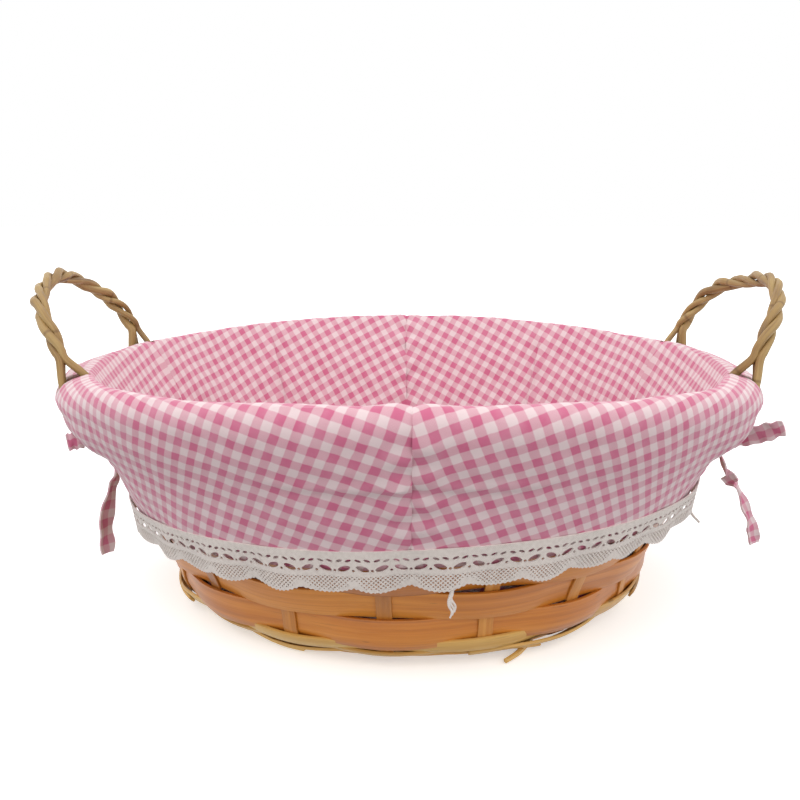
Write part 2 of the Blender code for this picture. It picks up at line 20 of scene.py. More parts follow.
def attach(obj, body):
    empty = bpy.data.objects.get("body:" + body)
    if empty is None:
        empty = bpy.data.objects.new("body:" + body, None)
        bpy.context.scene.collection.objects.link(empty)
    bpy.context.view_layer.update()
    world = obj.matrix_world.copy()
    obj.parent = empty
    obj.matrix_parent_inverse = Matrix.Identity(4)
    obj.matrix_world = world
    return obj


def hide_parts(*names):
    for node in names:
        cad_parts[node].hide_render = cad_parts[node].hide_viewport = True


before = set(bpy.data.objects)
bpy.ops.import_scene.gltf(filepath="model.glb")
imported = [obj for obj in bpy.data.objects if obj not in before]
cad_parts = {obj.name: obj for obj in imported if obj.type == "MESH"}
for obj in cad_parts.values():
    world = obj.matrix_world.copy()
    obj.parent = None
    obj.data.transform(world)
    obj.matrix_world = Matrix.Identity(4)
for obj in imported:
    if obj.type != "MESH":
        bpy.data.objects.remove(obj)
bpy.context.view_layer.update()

log = logging.getLogger("basket")
MM = 0.001
BODY = "root"


class Slot(Enum):
    """The record's material slots."""

    HONEY = "honey_split"
    PALE = "pale_split"
    RIB = "rib_wood"
    HOOP = "hoop_wood"
    WILLOW = "willow"
    GINGHAM = "gingham"
    LACE = "lace_cotton"


class Half(Enum):
    """The liner's two halves, which meet in a seam at the front and at the back."""

    RIGHT = 1
    LEFT = -1


def ramp(value: float, start: float, end: float) -> float:
    """A smooth step from 0 at start to 1 at end.

    Args:
        value: Where to read the step.
        start: The value at which the step leaves 0.
        end: The value at which the step reaches 1.

    Returns:
        The height of the step there.
    """
    share = min(max((value - start) / (end - start), 0.0), 1.0)
    return share * share * (3 - 2 * share)


def bell(value: float, width: float) -> float:
    """A smooth bump of height 1 at 0."""
    return math.exp(-((value / width) ** 2))


def ripple(x: float, y: float, seed: float = 0.0) -> float:
    """Smooth noise from about -1 to 1 over a plane."""
    return noise.noise(Vector((x, y, seed)))


@dataclass(frozen=True)
class Wall:
    """The section of the basket's wall, which every piece follows."""

    rim_radius: float = 0.1345
    rim_height: float = 0.0965
    end_dip: float = 0.006
    foot_radius: float = 0.086
    corner_radius: float = 0.0135
    corner_turn: float = math.radians(85)
    flare_radius: float = 0.030
    base_height: float = 0.00324
    stakes: int = 18
    stake_start: float = math.radians(-5)

    def flare_end(self, angle: float) -> tuple[float, float]:
        """The place at which the flare has turned to an angle.

        Args:
            angle: The wall's angle from level.

        Returns:
            The place's radius and height.
        """
        turn = self.corner_turn - angle
        radius = self.foot_radius + self.corner_radius * math.sin(self.corner_turn)
        height = self.base_height + self.corner_radius * (1 - math.cos(self.corner_turn))
        middle = self.corner_turn - turn / 2
        chord = 2 * self.flare_radius * math.sin(turn / 2)
        return radius + chord * math.cos(middle), height + chord * math.sin(middle)

    @cached_property
    def slope(self) -> float:
        """The straight wall's angle from level."""
        low, high = math.radians(20), self.corner_turn
        for _ in range(60):
            angle = (low + high) / 2
            radius, height = self.flare_end(angle)
            if radius + (self.rim_height - height) / math.tan(angle) > self.rim_radius:
                low = angle
            else:
                high = angle
        return (low + high) / 2

    @cached_property
    def flare_start(self) -> float:
        """The distance along a rib at which the corner ends."""
        return self.foot_radius + self.corner_radius * self.corner_turn

    @cached_property
    def flare_length(self) -> float:
        """The length of the flare above the corner."""
        return self.flare_radius * (self.corner_turn - self.slope)

    @cached_property
    def wall_start(self) -> float:
        """The distance along a rib at which the straight wall starts."""
        return self.flare_start + self.flare_length

    @cached_property
    def rim_top(self) -> float:
        """The distance along a rib at which the rim ends."""
        return self.along_at(self.rim_height)

    @cached_property
    def stake_step(self) -> float:
        """The angle from one stake to the next."""
        return math.tau / self.stakes

    def along_at(self, height: float) -> float:
        """The distance along a rib at which the straight wall has this height."""
        return self.wall_start + (height - self.flare_end(self.slope)[1]) / math.sin(self.slope)

    def section(self, along: float, offset: float) -> tuple[float, float]:
        """A place in the wall's section.

        Args:
            along: Distance along a rib from the basket's axis.
            offset: Stand-off outwards from the ribs' middle.

        Returns:
            The place's radius and height.
        """
        if along < self.foot_radius:
            angle, radius, height = 0.0, along, self.base_height
        elif along < self.flare_start:
            angle = (along - self.foot_radius) / self.corner_radius
            radius = self.foot_radius + self.corner_radius * math.sin(angle)
            height = self.base_height + self.corner_radius * (1 - math.cos(angle))
        else:
            past = along - self.flare_start
            angle = self.corner_turn - min(past, self.flare_length) / self.flare_radius
            radius, height = self.flare_end(angle)
            straight = max(0.0, along - self.wall_start)
            radius += straight * math.cos(angle)
            height += straight * math.sin(angle)
        return radius + offset * math.sin(angle), height - offset * math.cos(angle)

    def settled(self, angle: float, radius: float, height: float) -> Vector:
        """A point of the basket, whose two ends have sunk a little under the ears."""
        dip = self.end_dip * math.sin(angle) ** 2 * min(height / self.rim_height, 1.0)
        return Vector((radius * math.sin(angle), -radius * math.cos(angle), height - dip))

    def point(self, angle: float, along: float, offset: float) -> Vector:
        """A point beside the wall."""
        return self.settled(angle, *self.section(along, offset))


WALL = Wall()


def from_end(angle: float) -> float:
    """The angle between a place and the middle of the nearer ear."""
    return abs(math.pi / 2 - abs(math.remainder(angle, math.tau)))


# Nodes of a finish

Triple = tuple[float, float, float]
Colour = Triple
Socket = bpy.types.NodeSocket


class Tree:
    """Builds a material's nodes, a line at a time."""

    def __init__(self, name: str) -> None:
        """Starts a material.

        Args:
            name: The material's name.
        """
        self.material = bpy.data.materials.new(name)
        self.material.use_nodes = True
        self.nodes = self.material.node_tree.nodes
        self.links = self.material.node_tree.links
        self.shader = self.nodes["Principled BSDF"]

    def put(self, socket: Socket, value: object) -> None:
        """Gives a socket a number, a colour or another node's output.

        Args:
            socket: The input to set.
            value: The number, colour or output.
        """
        if isinstance(value, Socket):
            self.links.new(value, socket)
        elif isinstance(value, tuple) and len(value) == 3 and socket.type == "RGBA":
            socket.default_value = (*value, 1)
        else:
            socket.default_value = value

    def math(self, kind: str, *values: object) -> Socket:
        """One step of arithmetic.

        Args:
            kind: The node's operation.
            values: Numbers or outputs to work on.

        Returns:
            The output that holds the result.
        """
        node = self.nodes.new("ShaderNodeMath")
        node.operation = kind
        for socket, value in zip(node.inputs, values):
            self.put(socket, value)
        return node.outputs[0]

    def step(self, value: object, low: float, high: float, start: float = 0, end: float = 1) -> Socket:
        """A smooth step of a value.

        Args:
            value: The number or output to read.
            low: Where the step leaves its start.
            high: Where it reaches its end.
            start: The result at low.
            end: The result at high.

        Returns:
            The output that holds the result.
        """
        node = self.nodes.new("ShaderNodeMapRange")
        node.interpolation_type = "SMOOTHSTEP"
        for socket, setting in zip(node.inputs, (value, low, high, start, end)):
            self.put(socket, setting)
        return node.outputs[0]

    def mix(self, share: object, first: object, second: object, kind: str = "MIX") -> Socket:
        """A mix of two colours.

        Args:
            share: How much of the second colour shows.
            first: The first colour.
            second: The second colour.
            kind: How the second is laid on the first.

        Returns:
            The output that holds the colour.
        """
        node = self.nodes.new("ShaderNodeMix")
        node.data_type = "RGBA"
        node.blend_type = kind
        self.put(node.inputs["Factor"], share)
        self.put(node.inputs[6], first)
        self.put(node.inputs[7], second)
        return node.outputs[2]

    def place(self, stretch: Triple = (1, 1, 1), uv: bool = True) -> Socket:
        """The surface's own coordinates, stretched.

        Args:
            stretch: Factors on the three coordinates.
            uv: True for the piece's UV map, False for its object coordinates.

        Returns:
            The output that holds the coordinates.
        """
        source = self.nodes.new("ShaderNodeTexCoord")
        mapping = self.nodes.new("ShaderNodeMapping")
        mapping.inputs["Scale"].default_value = stretch
        self.links.new(source.outputs["UV" if uv else "Object"], mapping.inputs["Vector"])
        return mapping.outputs[0]

    def parts(self, vector: Socket) -> list[Socket]:
        """The three numbers of a vector."""
        node = self.nodes.new("ShaderNodeSeparateXYZ")
        self.links.new(vector, node.inputs[0])
        return list(node.outputs)

    def cloud(self, where: Socket, scale: float, detail: float = 3, bend: float = 0) -> Socket:
        """Noise over the surface, around a half.

        Args:
            where: The coordinates to read.
            scale: How fine the noise is.
            detail: How many finer layers it has.
            bend: How far it is bent by itself.

        Returns:
            The output that holds the noise.
        """
        node = self.nodes.new("ShaderNodeTexNoise")
        self.links.new(where, node.inputs["Vector"])
        node.inputs["Scale"].default_value = scale
        node.inputs["Detail"].default_value = detail
        node.inputs["Distortion"].default_value = bend
        return node.outputs[0]

    def shades(self, value: object, stops: Sequence[tuple[float, Colour]]) -> Socket:
        """Colours along a value.

        Args:
            value: The output that runs from 0 to 1.
            stops: Places from 0 to 1, each with its colour.

        Returns:
            The output that holds the colour.
        """
        node = self.nodes.new("ShaderNodeValToRGB")
        while len(node.color_ramp.elements) < len(stops):
            node.color_ramp.elements.new(0.5)
        for element, (place, colour) in zip(node.color_ramp.elements, stops):
            element.position = place
            element.color = (*colour, 1)
        self.put(node.inputs[0], value)
        return node.outputs[0]

    def bump(self, height: object, distance: float, strength: float = 1, under: object = None) -> Socket:
        """A bump of the surface.

        Args:
            height: The output that holds the height, from 0 to 1.
            distance: What a height of 1 stands for, in metres.
            strength: How much of it shows.
            under: A bump that this one lies on.

        Returns:
            The output that holds the normal.
        """
        node = self.nodes.new("ShaderNodeBump")
        node.inputs["Strength"].default_value = strength
        node.inputs["Distance"].default_value = distance
        self.put(node.inputs["Height"], height)
        if under is not None:
            self.put(node.inputs["Normal"], under)
        return node.outputs[0]

    def weave(self, across: object, down: object, thread: float) -> Socket:
        """The heights of crossing threads.

        Args:
            across: Distance across one set of threads.
            down: Distance across the other set.
            thread: Distance from one thread to the next but one.

        Returns:
            An output from 0 to 1.
        """
        turns = [self.math("MULTIPLY", value, math.tau / thread) for value in (across, down)]
        waves = [self.math("SINE", turn) for turn in turns]
        return self.math("MULTIPLY_ADD", self.math("MULTIPLY", *waves), 0.5, 0.5)

    def dress(self, **settings: object) -> bpy.types.Material:
        """Finishes the material.

        Args:
            settings: The shader's sockets, whose names have _ for a space, and their values.

        Returns:
            The material.
        """
        for name, value in settings.items():
            self.put(self.shader.inputs[name.replace("_", " ")], value)
        return self.material


@dataclass(frozen=True)
class Gingham:
    """Woven cotton with checks in two directions, on a UV map in metres."""

    name: str = "gingham_cotton"
    pink: Colour = (0.56, 0.130, 0.235)
    white: Colour = (0.715, 0.565, 0.575)
    faded: Colour = (0.86, 0.74, 0.76)
    slub: Colour = (0.5, 0.2, 0.3)
    wander: float = 0.0007
    period: float = 0.00635
    thread: float = 0.00042
    edge: float = 0.035

    def stripe(self, tree: Tree, along: object) -> Socket:
        """The coloured threads of one direction.

        Args:
            tree: The finish in the making.
            along: The distance across those threads.

        Returns:
            An output of 1 on the coloured threads and 0 on the white ones.
        """
        turn = tree.math("FRACT", tree.math("DIVIDE", along, self.period))
        middle = tree.math("ABSOLUTE", tree.math("SUBTRACT", turn, 0.5))
        return tree.step(middle, 0.25 + self.edge, 0.25 - self.edge)

    def material(self) -> bpy.types.Material:
        """Makes the finish."""
        tree = Tree(self.name)
        where = tree.place()
        across, down, _ = tree.parts(where)
        wander = tree.cloud(where, 260, 2)
        shift = tree.math("MULTIPLY", tree.math("SUBTRACT", wander, 0.5), self.wander)
        across, down = tree.math("ADD", across, shift), tree.math("ADD", down, shift)
        first = tree.mix(self.stripe(tree, across), self.white, self.pink)
        second = tree.mix(self.stripe(tree, down), self.white, self.pink)
        weave = tree.weave(across, down, self.thread)
        top = tree.math("MULTIPLY_ADD", weave, 0.4, 0.3)
        colour = tree.mix(top, first, second)
        worn = tree.cloud(where, 90, 4)
        colour = tree.mix(tree.step(worn, 0.35, 0.75, 0.0, 0.14), colour, self.faded)
        slub = tree.cloud(tree.place((1, 9, 1)), 480, 2)
        colour = tree.mix(tree.step(slub, 0.55, 0.8, 0.0, 0.10), colour, self.slub)
        normal = tree.bump(weave, 0.00006, 0.5)
        normal = tree.bump(tree.cloud(where, 420, 3), 0.00012, 0.5, normal)
        return tree.dress(
            Base_Color=colour,
            Roughness=tree.step(worn, 0.2, 0.8, 0.82, 0.95),
            Normal=normal,
            Sheen_Weight=0.25,
            Sheen_Roughness=0.5,
            Specular_IOR_Level=0.25,
        )


@dataclass(frozen=True)
class Split:
    """A flat strip of wood under varnish, with its grain along the UV map's first direction."""

    name: str
    dark: Colour
    middle: Colour
    light: Colour
    gloss: float = 0.30
    coat: float = 0.14

    def material(self) -> bpy.types.Material:
        """Makes the finish."""
        tree = Tree(self.name)
        grain = tree.cloud(tree.place((9, 420, 1)), 1.0, 6, 0.6)
        fine = tree.cloud(tree.place((60, 3200, 1)), 1.0, 3)
        patch = tree.cloud(tree.place((7, 16, 1)), 1.0, 3)
        both = tree.math("MULTIPLY_ADD", patch, 0.75, tree.math("MULTIPLY", grain, 0.45))
        colour = tree.shades(both, ((0.40, self.dark), (0.60, self.middle), (0.80, self.light)))
        streak = tree.step(fine, 0.56, 0.72, 0.0, 0.45)
        colour = tree.mix(streak, colour, tuple(0.55 * value for value in self.middle))
        fleck = tree.step(tree.cloud(tree.place((90, 900, 1)), 1.0, 2), 0.68, 0.76, 0.0, 0.5)
        colour = tree.mix(fleck, colour, tuple(0.35 * value for value in self.dark))
        normal = tree.bump(grain, 0.00025, 0.6)
        normal = tree.bump(fine, 0.00010, 0.6, normal)
        return tree.dress(
            Base_Color=colour,
            Roughness=tree.step(patch, 0.3, 0.7, self.gloss, self.gloss + 0.2),
            Normal=normal,
            Coat_Weight=self.coat,
            Coat_Roughness=0.25,
        )


@dataclass(frozen=True)
class Willow:
    """Peeled rods: pale tan, browner in places, with fibres along their length and darker joints."""

    name: str = "peeled_willow"
    dark: Colour = (0.135, 0.066, 0.022)
    middle: Colour = (0.31, 0.185, 0.060)
    light: Colour = (0.46, 0.325, 0.130)
    joints: float = 29

    def material(self) -> bpy.types.Material:
        """Makes the finish."""
        tree = Tree(self.name)
        fibre = tree.cloud(tree.place((45, 1500, 1)), 1.0, 4, 0.4)
        patch = tree.cloud(tree.place((30, 90, 1)), 1.0, 4)
        both = tree.math("MULTIPLY_ADD", patch, 0.8, tree.math("MULTIPLY", fibre, 0.4))
        colour = tree.shades(both, ((0.40, self.dark), (0.56, self.middle), (0.78, self.light)))
        along, _, _ = tree.parts(tree.place())
        turn = tree.math("FRACT", tree.math("MULTIPLY", along, self.joints))
        joint = tree.math("ABSOLUTE", tree.math("SUBTRACT", turn, 0.5))
        colour = tree.mix(tree.step(joint, 0.03, 0.0, 0.0, 0.6), colour, self.dark)
        normal = tree.bump(fibre, 0.0003, 0.7)
        normal = tree.bump(patch, 0.0005, 0.5, normal)
        return tree.dress(
            Base_Color=colour,
            Roughness=tree.step(fibre, 0.3, 0.7, 0.45, 0.7),
            Normal=normal,
            Coat_Weight=0.08,
        )


@dataclass(frozen=True)
class Cotton:
    """Off-white crochet cotton with fine threads, for the lace and the loose ends, with painted shade in the
    hollows between the threads.
    """

    name: str = "lace_thread"
    light: Colour = (0.78, 0.71, 0.66)
    dark: Colour = (0.53, 0.45, 0.41)
    thread: float = 0.00055

    def material(self) -> bpy.types.Material:
        """Makes the finish."""
        tree = Tree(self.name)
        where = tree.place()
        across, down, _ = tree.parts(where)
        weave = tree.weave(across, down, self.thread)
        soft = tree.cloud(where, 700, 3)
        # Half of the colour follows the weave's height, as painted shade that is darker in the hollows
        # between threads. The other half is random tone from the soft noise.
        share = tree.math("MULTIPLY_ADD", weave, 0.5, tree.math("MULTIPLY", soft, 0.5))
        colour = tree.shades(share, ((0.2, self.dark), (0.6, self.light)))
        normal = tree.bump(weave, 0.00015, 0.7)
        normal = tree.bump(soft, 0.0002, 0.5, normal)
        return tree.dress(
            Base_Color=colour,
            Roughness=tree.step(soft, 0.3, 0.7, 0.85, 0.97),
            Normal=normal,
            Sheen_Weight=0.3,
            Specular_IOR_Level=0.2,
        )


@dataclass(frozen=True)
class Paper:
    """The plain pale floor."""

    name: str = "pale_floor"
    light: Colour = (0.93, 0.93, 0.93)
    dark: Colour = (0.90, 0.90, 0.90)
    glow: float = 0.42

    def material(self) -> bpy.types.Material:
        """Makes the finish."""
        tree = Tree(self.name)
        soft = tree.cloud(tree.place(uv=False), 6, 3)
        return tree.dress(
            Base_Color=tree.mix(soft, self.dark, self.light),
            Roughness=0.9,
            Emission_Color=(1, 1, 1),
            Emission_Strength=self.glow,
        )


# Making pieces

Place = Callable[[float, float], Vector]
Pattern = Callable[[float, float], tuple[float, float]]


def deselect() -> None:
    """Deselects every object."""
    bpy.ops.object.select_all(action="DESELECT")


def pick(piece: bpy.types.Object) -> None:
    """Selects one object alone and makes it active."""
    deselect()
    piece.select_set(True)
    bpy.context.view_layer.objects.active = piece


def bent_grid(name: str, columns: int, rows: int, place: Place, pattern: Pattern) -> bpy.types.Object:
    """A flat grid bent into shape, with a UV map in metres.

    Args:
        name: The piece's name.
        columns: Faces along the first direction.
        rows: Faces along the second direction.
        place: Gives a point for the shares, 0 to 1, of the two directions.
        pattern: Gives the UV place for the same two shares.

    Returns:
        The new object, at the origin.
    """
    deselect()
    bpy.ops.mesh.primitive_grid_add(x_subdivisions=columns, y_subdivisions=rows, size=1.0, calc_uvs=True)
    piece = bpy.context.object
    piece.name = piece.data.name = name
    mesh = piece.data
    shares = [(vertex.co.x + 0.5, vertex.co.y + 0.5) for vertex in mesh.vertices]
    marks = [pattern(*share) for share in shares]
    layer = mesh.uv_layers.active.data
    for loop in mesh.loops:
        layer[loop.index].uv = marks[loop.vertex_index]
    for vertex, share in zip(mesh.vertices, shares):
        vertex.co = place(*share)
    mesh.update()
    return piece


def merge(piece: bpy.types.Object, distance: float = 0.00001, outward: bool = False) -> None:
    """Joins points that meet.

    Args:
        piece: The piece to mend.
        distance: How near two points are that meet.
        outward: True to turn all faces of a closed piece outwards.
    """
    pick(piece)
    bpy.ops.object.mode_set(mode="EDIT")
    bpy.ops.mesh.select_all(action="SELECT")
    bpy.ops.mesh.remove_doubles(threshold=distance)
    if outward:
        bpy.ops.mesh.normals_make_consistent(inside=False)
    bpy.ops.object.mode_set(mode="OBJECT")


def finish_with(piece: bpy.types.Object, kind: str, **settings: object) -> None:
    """Adds a modifier and applies it.

    Args:
        piece: The piece to change.
        kind: The modifier's type.
        settings: The modifier's own settings.
    """
    modifier = piece.modifiers.new(kind.lower(), kind)
    for name, value in settings.items():
        setattr(modifier, name, value)
    pick(piece)
    bpy.ops.object.modifier_apply(modifier=modifier.name)


def thicken(piece: bpy.types.Object, thickness: float, round_off: float = 0.0) -> None:
    """Gives a bent sheet its thickness.

    Args:
        piece: The sheet.
        thickness: Its thickness, half on each side.
        round_off: The width of the bevel on its edges, or 0 for none.
    """
    finish_with(piece, "SOLIDIFY", thickness=thickness, offset=0.0, use_even_offset=False)
    if round_off:
        corner = math.radians(50)
        finish_with(piece, "BEVEL", width=round_off, segments=2, limit_method="ANGLE", angle_limit=corner)


def soften(piece: bpy.types.Object, angle: float = math.radians(35)) -> None:
    """Shades a piece smooth, apart from its sharp edges."""
    pick(piece)
    bpy.ops.object.shade_smooth_by_angle(angle=angle)


def settle(piece: bpy.types.Object, material: bpy.types.Material, slot: Slot, nodes: Sequence[str]) -> None:
    """Dresses a finished piece, hangs it on its body, and hides the CAD nodes that it stands for.

    Args:
        piece: The finished piece.
        material: Its finish.
        slot: Not used.
        nodes: The CAD nodes that it stands for.
    """
    piece.data.materials.clear()
    piece.data.materials.append(material)
    soften(piece)
    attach(piece, BODY)
    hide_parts(*nodes)
    log.info("%s: %d faces", piece.name, len(piece.data.polygons))


def joined(pieces: Sequence[bpy.types.Object], name: str) -> bpy.types.Object:
    """Joins meshes into one piece.

    Args:
        pieces: The meshes.
        name: The whole's name.

    Returns:
        The whole.
    """
    pick(pieces[0])
    for piece in pieces:
        piece.select_set(True)
    if len(pieces) > 1:
        bpy.ops.object.join()
    result = bpy.context.view_layer.objects.active
    result.name = result.data.name = name
    return result


def smooth_route(points: Sequence[Vector], steps: int) -> list[Vector]:
    """A smooth curve through points, read at even steps.

    Args:
        points: The points that the curve goes through.
        steps: How many stretches the result has.

    Returns:
        One point more than there are steps.
    """
    ends = [2 * points[0] - points[1], *points, 2 * points[-1] - points[-2]]
    spans = len(points) - 1
    result = []
    for step in range(steps + 1):
        place = min(step / steps * spans, spans - 1e-9)
        index = int(place)
        share = place - index
        a, b, c, d = ends[index : index + 4]
        result.append(
            0.5
            * (
                2 * b
                + (c - a) * share
                + (2 * a - 5 * b + 4 * c - d) * share**2
                + (3 * b - a - 3 * c + d) * share**3
            )
        )
    return result


def tube_piece(
    name: str, route: Sequence[Vector], radius: Callable[[float], float], sides: int, mark: float
) -> bpy.types.Object:
    """A round rod along a route, closed at both ends.

    Args:
        name: The piece's name.
        route: Points along its middle.
        radius: Gives the radius for a share of the length.
        sides: Faces round it.
        mark: A number that sets its grain apart from its neighbours'.

    Returns:
        The new object.
    """
    count = len(route) - 1
    frames = []
    across = (route[1] - route[0]).orthogonal().normalized()
    lengths = [0.0]
    for index in range(count + 1):
        tangent = (route[min(index + 1, count)] - route[max(index - 1, 0)]).normalized()
        across = (across - tangent * across.dot(tangent)).normalized()
        frames.append((tangent, across, tangent.cross(across)))
        if index:
            lengths.append(lengths[-1] + (route[index] - route[index - 1]).length)

    def place(along: float, around: float) -> Vector:
        """A point of the rod's skin.

        Args:
            along: Share of the length.
            around: Share of a turn.

        Returns:
            The point.
        """
        step = round(along * (count + 4)) - 2
        index = min(max(step, 0), count)
        share = {-2: 0.0, -1: 0.75, count + 1: 0.75, count + 2: 0.0}.get(step, 1.0)
        size = radius(index / count) * share
        turn = math.tau * around
        tangent, first, second = frames[index]
        push = (1 - share) * radius(index / count) * 0.4 * (1 if step > count else -1)
        return route[index] + tangent * push + size * (math.cos(turn) * first + math.sin(turn) * second)

    def pattern(along: float, around: float) -> tuple[float, float]:
        """The grain's place."""
        index = min(max(round(along * (count + 4)) - 2, 0), count)
        return lengths[index] + mark, around * math.tau * radius(0.5) + mark * 3

    piece = bent_grid(name, count + 4, sides, place, pattern)
    merge(piece, 0.000005, outward=True)
    return piece


def cut_out(piece: bpy.types.Object, faces: Sequence[int]) -> None:
    """Deletes faces of a sheet.

    Args:
        piece: The sheet.
        faces: The faces' numbers.
    """
    pick(piece)
    bpy.ops.object.mode_set(mode="EDIT")
    bpy.ops.mesh.select_all(action="DESELECT")
    bpy.ops.object.mode_set(mode="OBJECT")
    for index in faces:
        piece.data.polygons[index].select = True
    bpy.ops.object.mode_set(mode="EDIT")
    bpy.ops.mesh.select_mode(type="FACE")
    bpy.ops.mesh.delete(type="FACE")
    bpy.ops.object.mode_set(mode="OBJECT")


def route_of(points: Sequence[Triple], steps: int) -> list[Vector]:
    """A smooth curve in metres through points in millimetres."""
    return smooth_route([Vector(point) * MM for point in points], steps)


def line_length(route: Sequence[Vector]) -> float:
    """The length of a line through points."""
    return sum((after - before).length for before, after in zip(route, route[1:]))


# The woven wood

HONEY = Split("honey_varnish", (0.26, 0.066, 0.006), (0.49, 0.155, 0.013), (0.66, 0.26, 0.038))
PALE = Split("pale_varnish", (0.34, 0.15, 0.022), (0.56, 0.30, 0.065), (0.76, 0.50, 0.17), 0.35)
STAKE = Split("stake_varnish", (0.26, 0.080, 0.010), (0.48, 0.18, 0.026), (0.66, 0.31, 0.070), 0.35)
HOOP = Split("hoop_varnish", (0.33, 0.14, 0.035), (0.52, 0.26, 0.08), (0.66, 0.38, 0.14), 0.4)

# Each edge split's two lengths: the angles at which it starts and ends, and its drift there.
EDGE_CUTS = (
    ((-0.62, 2.75, -0.0012, 0.0022), (2.45, 5.85, 0.0018, -0.0010)),
    ((-2.45, 0.52, 0.0016, -0.0026), (0.22, 3.95, -0.0016, 0.0018)),
    ((-1.25, 1.30, -0.0020, 0.0022), (1.05, 5.20, 0.0014, -0.0020)),
)
# The middle of a broken end that sticks out at the foot, in millimetres.
STUB = ((44.0, -76.0, 2.4), (41.5, -81.0, 1.9), (38.0, -86.5, 1.5), (33.5, -91.5, 1.3))


@dataclass
class Weave:
    """The splits: rows round the wall, rounds under the base, edge splits, ribs and hoops."""

    rib_width: float = 0.0055
    rib_thickness: float = 0.0008
    weaver_thickness: float = 0.0012
    piece_gap: float = 0.0003
    join_stake: int = 9
    edge_spread: float = 0.0018
    least_height: float = 0.0009
    wall_rows: int = 7
    edge_splits: int = 3
    edge_width: float = 0.0042
    base_rounds: int = 4
    eye_radius: float = 0.031
    hoop_height: float = 0.011
    hoop_thickness: float = 0.0022
    foot_hoop_width: float = 0.0065
    steps_per_stake: int = 12
    wander: float = 2.6
    cup: float = 0.0004
    lean: float = 0.0007
    dent: float = 0.00015
    edge_drift: float = 0.0014
    edge_lift: float = 0.0017
    edge_lap: float = 0.0005
    shrink: float = 0.96

    @property
    def rows_start(self) -> float:
        """The distance along a rib at which the first wall row starts."""
        return WALL.foot_radius + self.edge_splits * (self.edge_width + self.piece_gap)

    @property
    def row_pitch(self) -> float:
        """The width of a wall row with its gap."""
        return (WALL.rim_top - self.hoop_height - self.piece_gap - self.rows_start) / self.wall_rows

    @property
    def crossing_radius(self) -> float:
        """Where the ribs part from their stack in the base's middle."""
        return (self.rib_width / 2 + self.piece_gap) / math.tan(WALL.stake_step / 2)

    @property
    def swing(self) -> float:
        """How far a weaver's middle stands off the ribs' middle at a stake."""
        return (self.rib_thickness + self.weaver_thickness) / 2 + self.piece_gap / 2

    def woven(
        self, name: str, start: float, end: float, side: int, seed: float, slack: float
    ) -> bpy.types.Object:
        """A split that goes round the basket, outside one stake and inside the next.

        Args:
            name: The piece's name.
            start: Its lower edge's distance along the ribs.
            end: Its upper edge's.
            side: 1 where it passes outside the first stake, else -1.
            seed: What sets its small irregularities.
            slack: How far its edges wander.

        Returns:
            The new object.
        """
        radius = WALL.section((start + end) / 2, 0)[0]
        join = WALL.stake_start + WALL.stake_step * (self.join_stake + 2 * round(seed))

        def place(around: float, up: float) -> Vector:
            """A point of the split's middle.

            Args:
                around: Share of a turn.
                up: Share of the width.

            Returns:
                The point.
            """
            angle = join + around * math.tau
            wave = math.cos((angle - WALL.stake_start) / WALL.stake_step * math.pi)
            loop = (math.cos(angle) * self.wander, math.sin(angle) * self.wander)
            edge = ripple(*loop, seed + (7 if up > 0.5 else 0))
            along = start + (end - start) * (1.02 * up - 0.01) + slack * edge
            cup = self.cup * (1 - (2 * up - 1) ** 2) * (1 if side * wave > 0 else 0.3)
            lean = self.lean * (up - 0.5) * ripple(*loop, seed + 3)
            dent = self.dent * ripple(angle * 9, up * 2, seed)
            return WALL.point(angle, along, side * self.swing * wave + cup + lean + dent)

        def pattern(around: float, up: float) -> tuple[float, float]:
            """The grain's place."""
            return around * math.tau * radius + seed * 0.37, up * (end - start) + seed * 0.61

        columns = WALL.stakes * self.steps_per_stake
        piece = bent_grid(name, columns, 4, place, pattern)
        merge(piece)
        thicken(piece, self.weaver_thickness, 0.00022)
        return piece

    def hoop(
        self, name: str, start: float, end: float, offset: float, thickness: float, seed: float
    ) -> bpy.types.Object:
        """A stiff hoop that follows the wall without weaving.

        Args:
            name: The piece's name.
            start: Its lower edge's distance along the ribs.
            end: Its upper edge's.
            offset: Its middle's stand-off.
            thickness: Its thickness.
            seed: What sets its grain.

        Returns:
            The new object.
        """
        radius = WALL.section((start + end) / 2, 0)[0]
        inset = thickness * 0.05

        def place(around: float, up: float) -> Vector:
            """A point of the hoop's middle."""
            turn = around * math.tau
            along = start + inset + (end - start - 2 * inset) * up
            return WALL.point(WALL.stake_start + turn, along, offset)

        def pattern(around: float, up: float) -> tuple[float, float]:
            """The grain's place."""
            return around * math.tau * radius + seed, up * (end - start) + seed

        piece = bent_grid(name, 144, 3, place, pattern)
        merge(piece)
        thicken(piece, thickness * self.shrink, 0.0004)
        return piece

    def rib(self, index: int) -> bpy.types.Object:
        """A strip that crosses the base in its own layer of the stack and rises as two stakes.

        Args:
            index: Its number, from 0 at the lowest.

        Returns:
            The new object.
        """
        turn = WALL.stake_start + WALL.stake_step * index
        lift = (self.rib_thickness + self.piece_gap) * index
        reach = WALL.rim_top - self.piece_gap
        rib_share = 0.97

        def centre(along: float) -> Vector:
            """A point of the strip's middle.

            Args:
                along: Distance from the axis, negative on the far side.

            Returns:
                The point.
            """
            angle = turn if along > 0 else turn + math.pi
            far = abs(along)
            slope = (far - self.crossing_radius) / (self.eye_radius - self.crossing_radius)
            share = 1 - min(max(slope, 0), 1)
            return WALL.point(angle, far, 0) + Vector((0, 0, lift * share))

        def place(along: float, across: float) -> Vector:
            """A point of the strip's middle sheet.

            Args:
                along: Share of the length.
                across: Share of the width.

            Returns:
                The point.
            """
            far = (2 * along - 1) * reach
            side = Vector((math.cos(turn), math.sin(turn), 0)) * self.rib_width * rib_share * (across - 0.5)
            wobble = 0.00025 * ripple(far * 30, index * 3.1)
            return centre(far) + side * (1 + wobble)

